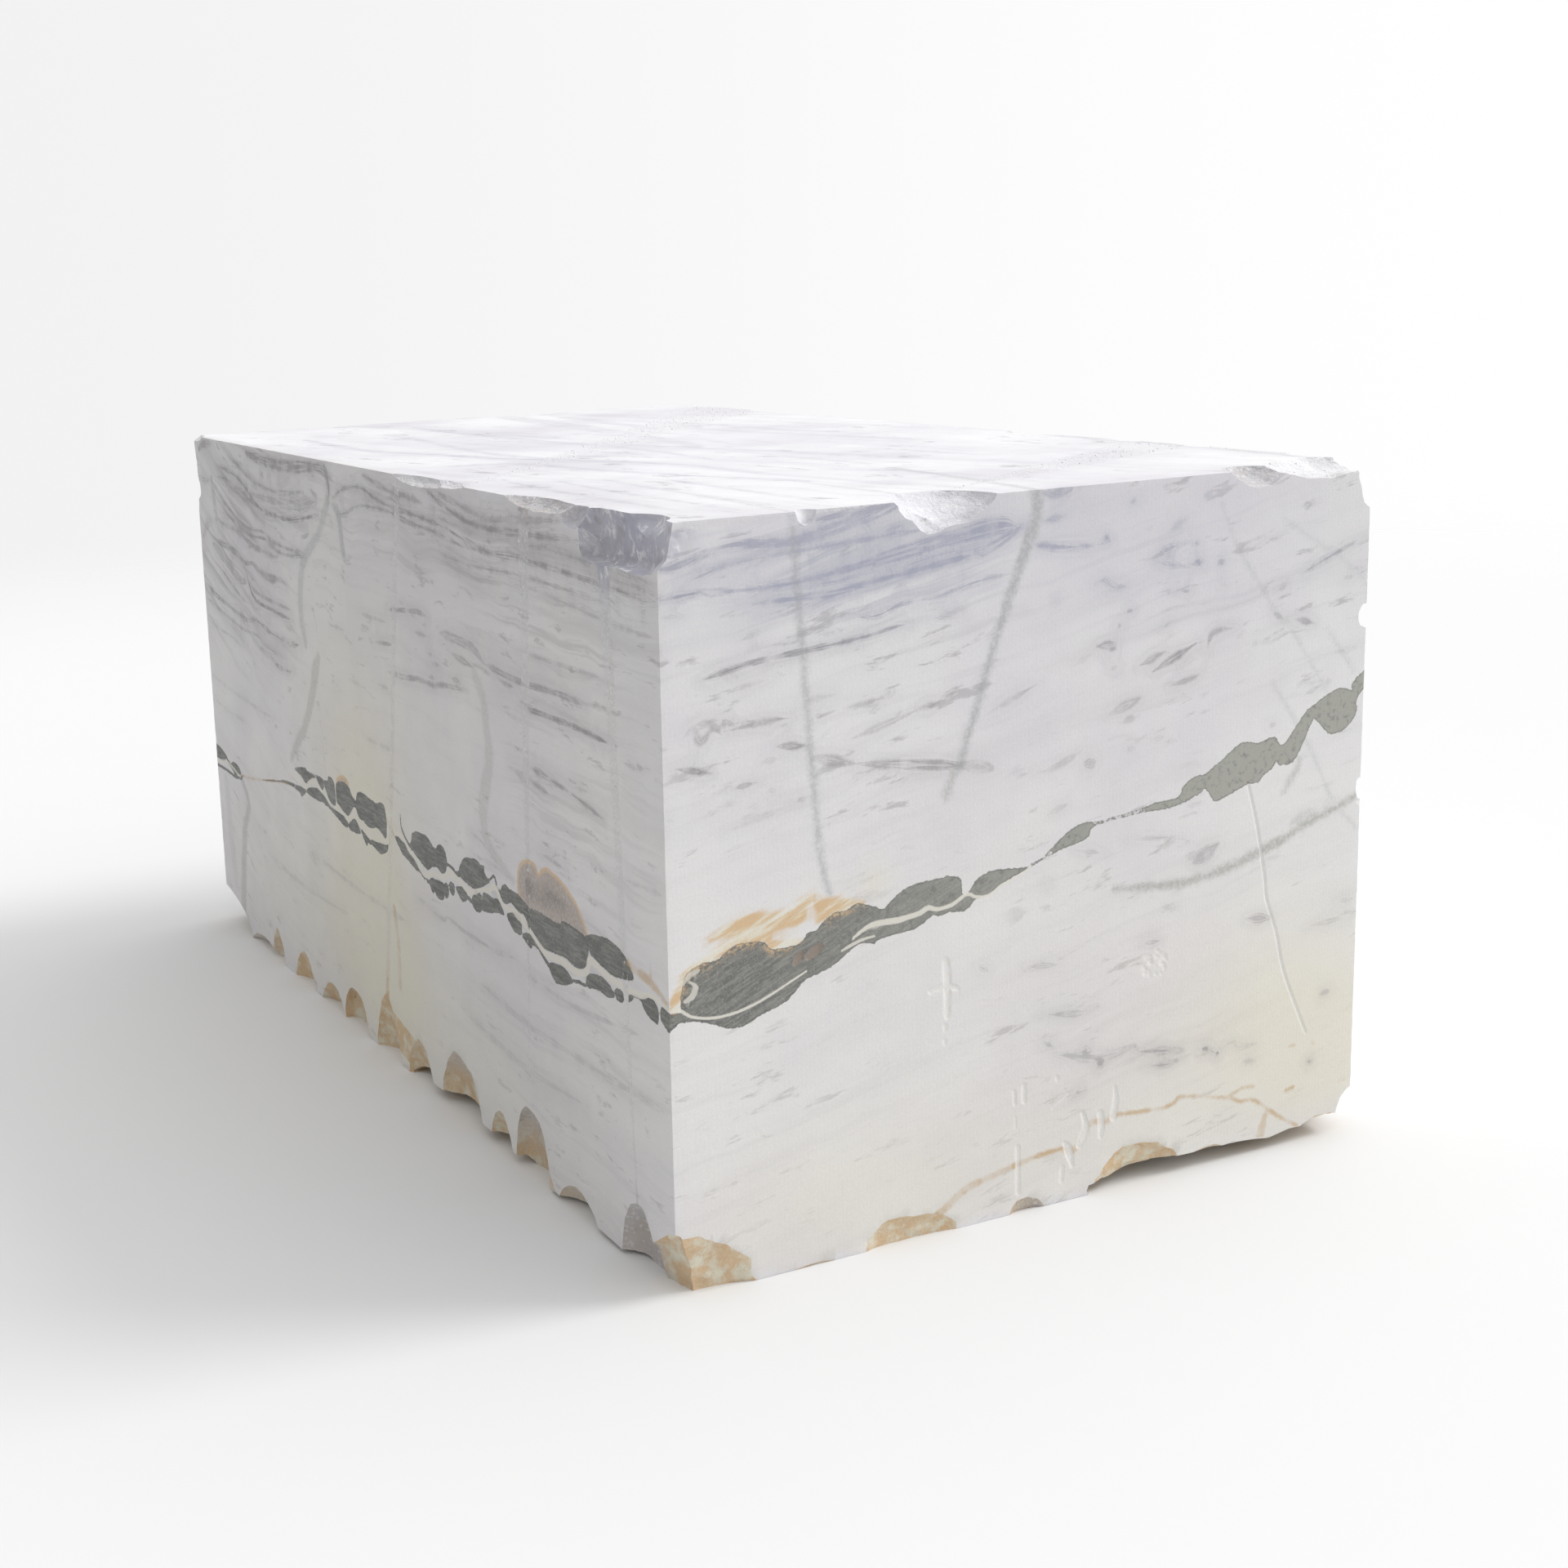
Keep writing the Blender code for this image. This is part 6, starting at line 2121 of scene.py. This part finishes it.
@dataclass
class MarbleBlock:
    """The whole stone: one piece, sawn on six faces and broken along its arrises."""

    markings: Markings = field(default_factory=Markings)
    bedding: Bedding = field(default_factory=Bedding)
    relief: FractureRelief = field(default_factory=FractureRelief)
    crumbs: Crumbs = field(default_factory=Crumbs)
    atlas: Atlas = field(default_factory=Atlas)
    sharp_angle: float = math.radians(38)

    def build(self, source: bpy.types.Object, finish: Finish) -> bpy.types.Object:
        """Builds the dressed block.

        Args:
            source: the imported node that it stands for.
            finish: the shared finishes.

        Returns:
            The block, in the scene.
        """
        mesher = BlockMesher(source, self.markings)
        skin = mesher.build()
        faces = list(mesher.faces.values())
        points = np.array(skin.points)
        mesh = bpy.data.meshes.new("marble_stone")
        triangles = np.array(skin.triangles)
        owner = self.owners(points, faces)
        values = self.values(points, faces, owner)
        inward = np.stack([-face.normal for face in faces])[owner]
        points = points + inward * self.sunk(skin, values["carved"])[:, None]
        mesh.from_pydata(points.tolist(), [], triangles.tolist())
        broken = np.array(skin.broken)
        mesh.polygons.foreach_set("material_index", broken.astype(np.int32))
        mesh.attributes.new("broken", "FLOAT", "FACE").data.foreach_set("value", broken.astype(float))
        self.push(mesh, skin, faces, broken, values)
        for name, array in values.items():
            width = "FLOAT_VECTOR" if array.ndim == 2 else "FLOAT"
            key = "vector" if array.ndim == 2 else "value"
            mesh.attributes.new(name, width, "POINT").data.foreach_set(key, array.ravel())
        block = bpy.data.objects.new("marble_stone", mesh)
        bpy.context.scene.collection.objects.link(block)
        for material in (finish.sawn(), finish.broken(), finish.crumb()):
            mesh.materials.append(material)
        block.data = applied(block, self.relief.tree(mesh.materials[1]), self.relief.inputs())
        self.scatter(block)
        block.data.shade_smooth()
        block.data.set_sharp_from_angle(angle=self.sharp_angle)
        self.atlas.lay(block.data, self.sides(block.data))
        for name in ("push", "inward", "crumble", "broken"):
            if name in block.data.attributes:
                block.data.attributes.remove(block.data.attributes[name])
        return block

    @staticmethod
    def owners(points: np.ndarray, faces: list) -> np.ndarray:
        """The number of the sawn face that each point lies nearest to."""
        return np.argmin(np.abs(np.stack([face.depth(points) for face in faces])), axis=0)

    def values(self, points: np.ndarray, faces: list, owner: np.ndarray) -> dict:
        """Reads the markings and the tones of broken stone at every point."""
        values = {}
        for number, face in enumerate(faces):
            chosen = owner == number
            read = self.markings.read(face.side, face.flat(points[chosen]))
            read["bed"] = self.bedding.height(face.side, points[chosen] / MM)
            for name, array in read.items():
                values.setdefault(name, np.zeros(len(points)))[chosen] = array
        for chip in CHIP_TONES:
            offset = (points - np.array(chip.middle)) / np.array(chip.reach)
            share = np.minimum(chip.strength * np.exp(-((offset**2).sum(axis=1)) ** 1.5), 1)
            values[chip.tone] = np.maximum(values.get(chip.tone, 0), share)
        return values

    @staticmethod
    def sunk(skin: Skin, carved: np.ndarray) -> np.ndarray:
        """How far each point of a sawn face sinks into its gouges and pits, in metres."""
        single = np.array([bin(bits).count("1") == 1 for bits in skin.face_of])
        return carved * single * MM

    def push(self, mesh: bpy.types.Mesh, skin: Skin, faces: list, broken: np.ndarray, values: dict) -> None:
        """Works out how far and which way each point may be pushed, and where crumbs lie.

        Args:
            mesh: the block's mesh.
            skin: the points and triangles that it was made from.
            faces: the sawn faces.
            broken: whether each triangle is broken stone.
            values: the attributes so far, which gain push, inward and crumble.
        """
        points = rows_of(mesh.vertices, "co", 3)
        corners = rows_of(mesh.loops, "vertex_index", 1, np.int32).reshape(-1, 3)
        a, b, c = (points[corners[:, i]] for i in range(3))
        facing = np.cross(b - a, c - a)
        normals = np.zeros_like(points)
        touched = np.zeros(len(points), bool)
        for i in range(3):
            np.add.at(normals, corners[broken, i], facing[broken])
            touched[corners[broken, i]] = True
        normals /= np.maximum(np.linalg.norm(normals, axis=1, keepdims=True), 1e-12)
        bits = np.array(skin.face_of)
        on_face = np.zeros(len(points), int)
        free = np.ones(len(points))
        way = normals.copy()
        outward = np.zeros_like(points)
        for number, face in enumerate(faces):
            member = (bits >> number) & 1 == 1
            on_face += member
            along = way @ face.normal
            way[member] -= along[member, None] * face.normal
            outward[member] += face.normal
            free = np.where(member, free, np.minimum(free, np.maximum(face.depth(points), 0)))
        inside, rim, arris = touched & (on_face == 0), touched & (on_face == 1), on_face > 1
        reach = np.zeros(len(points))
        reach[inside] = self.relief.inside
        reach[rim] = self.relief.rim
        reach = np.minimum(reach, self.relief.share_of_depth * free)
        reach *= 1 - self.relief.calmed * values["chip_calm"]
        reach[arris] = self.relief.arris
        way[arris] = outward[arris]
        way /= np.maximum(np.linalg.norm(way, axis=1, keepdims=True), 1e-12)
        values["push"] = way * reach[:, None]
        values["inward"] = arris.astype(float)
        near_top = np.clip((points[:, 2] - self.crumbs.lowest) / self.crumbs.growing, 0, 1)
        values["crumble"] = np.where(inside, near_top * (1 - values["chip_calm"]), 0.0)

    def scatter(self, block: bpy.types.Object) -> None:
        """Adds the loose crystals to the block's own mesh."""
        crumb = 2
        loose = applied(block, self.crumbs.tree(block.data.materials[crumb]), self.crumbs.inputs())
        LOG.info("crumbs: %d triangles", len(loose.polygons))
        joined = bmesh.new()
        joined.from_mesh(block.data)
        before = len(joined.faces)
        joined.from_mesh(loose)
        joined.faces.ensure_lookup_table()
        for face in joined.faces[before:]:
            face.material_index = crumb
        joined.to_mesh(block.data)
        joined.free()
        bpy.data.meshes.remove(loose)

    @staticmethod
    def sides(mesh: bpy.types.Mesh) -> np.ndarray:
        """The number of the side that each triangle looks to most."""
        normals = rows_of(mesh.polygons, "normal", 3)
        facing = np.stack([normals[:, side.across] * side.sign for side in Side])
        return np.argmax(facing, axis=0)


# ---------------------------------------------------------------- the studio


@dataclass(frozen=True)
class Studio:
    """A plain pale floor, soft light from the right, and the camera."""

    camera_place: tuple = (-2.0632, -4.3380, 1.5590)
    turn: float = math.radians(27.871)
    tilt: float = math.radians(12.641)
    roll: float = math.radians(-1.996)
    focal: float = 53.38
    sensor: float = 36.0
    floor_size: float = 60.0
    floor_tone: tuple = colour(0.80, 0.80, 0.80)
    fade_start: float = 5.0
    fade_end: float = 11.0
    backdrop: tuple = (0.89, 1.0)
    backdrop_reach: float = 0.33
    sky_all_round: float = 0.075
    sky_start: float = -0.2
    sky_lobes: tuple = (((0.0, 0.0, 1.0), 0.78), ((0.965, -0.096, 0.241), 0.77))
    sun_from: tuple = (0.884, -0.300, 0.93)
    sun_power: float = 1.2
    sun_softness: float = math.radians(22)

    def build(self) -> None:
        """Builds the floor, the light and the camera."""
        self.floor()
        self.sky()
        self.sun()
        self.camera()
        bpy.context.scene.view_settings.view_transform = "Standard"

    def floor(self) -> None:
        """Lays the floor, which fades into the backdrop far from the block."""
        mesh = bpy.data.meshes.new("floor")
        half = self.floor_size / 2
        corners = [(-half, -half, 0), (half, -half, 0), (half, half, 0), (-half, half, 0)]
        mesh.from_pydata(corners, [], [range(len(corners))])
        floor = bpy.data.objects.new("floor", mesh)
        bpy.context.scene.collection.objects.link(floor)
        material = bpy.data.materials.new("pale_floor")
        material.use_nodes = True
        wiring = Wiring(material.node_tree)
        shader = material.node_tree.nodes["Principled BSDF"]
        shader.inputs["Base Color"].default_value = self.floor_tone
        shader.inputs["Roughness"].default_value = 0.85
        shader.inputs["Specular IOR Level"].default_value = 0.1
        place = wiring.add("ShaderNodeTexCoord").outputs["Object"]
        away = wiring.vector("LENGTH", place).outputs["Value"]
        wiring.feed(shader.inputs["Alpha"], wiring.ramp(away, self.fade_start, self.fade_end, (1.0, 0.0)))
        mesh.materials.append(material)

    def sky(self) -> None:
        """Lights the scene from all round, brighter from the right and above."""
        world = bpy.data.worlds.new("studio")
        world.use_nodes = True
        bpy.context.scene.world = world
        wiring = Wiring(world.node_tree)
        way = wiring.add("ShaderNodeTexCoord").outputs["Generated"]
        level = self.sky_all_round
        for towards, power in self.sky_lobes:
            facing = wiring.vector("DOT_PRODUCT", way, towards).outputs["Value"]
            level = wiring.plus(wiring.ramp(facing, self.sky_start, 1.0, (0.0, power)), level)
        seen = wiring.add("ShaderNodeLightPath").outputs["Is Camera Ray"]
        right = (math.cos(self.turn), -math.sin(self.turn), 0.0)
        across = wiring.vector("DOT_PRODUCT", way, right).outputs["Value"]
        behind = wiring.ramp(across, -self.backdrop_reach, self.backdrop_reach, self.backdrop)
        mixed = wiring.blend(seen, wiring.joined(level, level, level), wiring.joined(behind, behind, behind))
        wiring.feed(world.node_tree.nodes["Background"].inputs["Color"], mixed)

    def sun(self) -> None:
        """Hangs the soft key light."""
        light = bpy.data.lights.new("key", "SUN")
        light.energy = self.sun_power
        light.angle = self.sun_softness
        key = bpy.data.objects.new("key", light)
        key.rotation_euler = Vector(self.sun_from).to_track_quat("Z", "Y").to_euler()
        bpy.context.scene.collection.objects.link(key)

    def camera(self) -> None:
        """Sets the camera up."""
        forward = Vector((
            math.sin(self.turn) * math.cos(self.tilt),
            math.cos(self.turn) * math.cos(self.tilt),
            -math.sin(self.tilt),
        ))
        right = forward.cross(Vector((0, 0, 1))).normalized()
        up = right.cross(forward)
        rolled_right = right * math.cos(self.roll) + up * math.sin(self.roll)
        rolled_up = up * math.cos(self.roll) - right * math.sin(self.roll)
        lens = bpy.data.cameras.new("camera")
        lens.lens = self.focal
        lens.sensor_width = self.sensor
        held = bpy.data.objects.new("camera", lens)
        turned = Matrix((rolled_right, rolled_up, -forward)).transposed().to_4x4()
        held.matrix_world = Matrix.Translation(self.camera_place) @ turned
        bpy.context.scene.collection.objects.link(held)
        bpy.context.scene.camera = held


def main() -> None:
    """Builds the studio and the block, and hides the imported part."""
    logging.basicConfig(level=logging.INFO, format="%(name)s: %(message)s")
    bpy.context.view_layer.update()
    Studio().build()
    block = MarbleBlock().build(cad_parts[NODE], build_finish())
    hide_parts(NODE)
    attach(block, "root")
    LOG.info("%s: %d triangles", block.name, len(block.data.polygons))


if __name__ == "__main__":
    main()
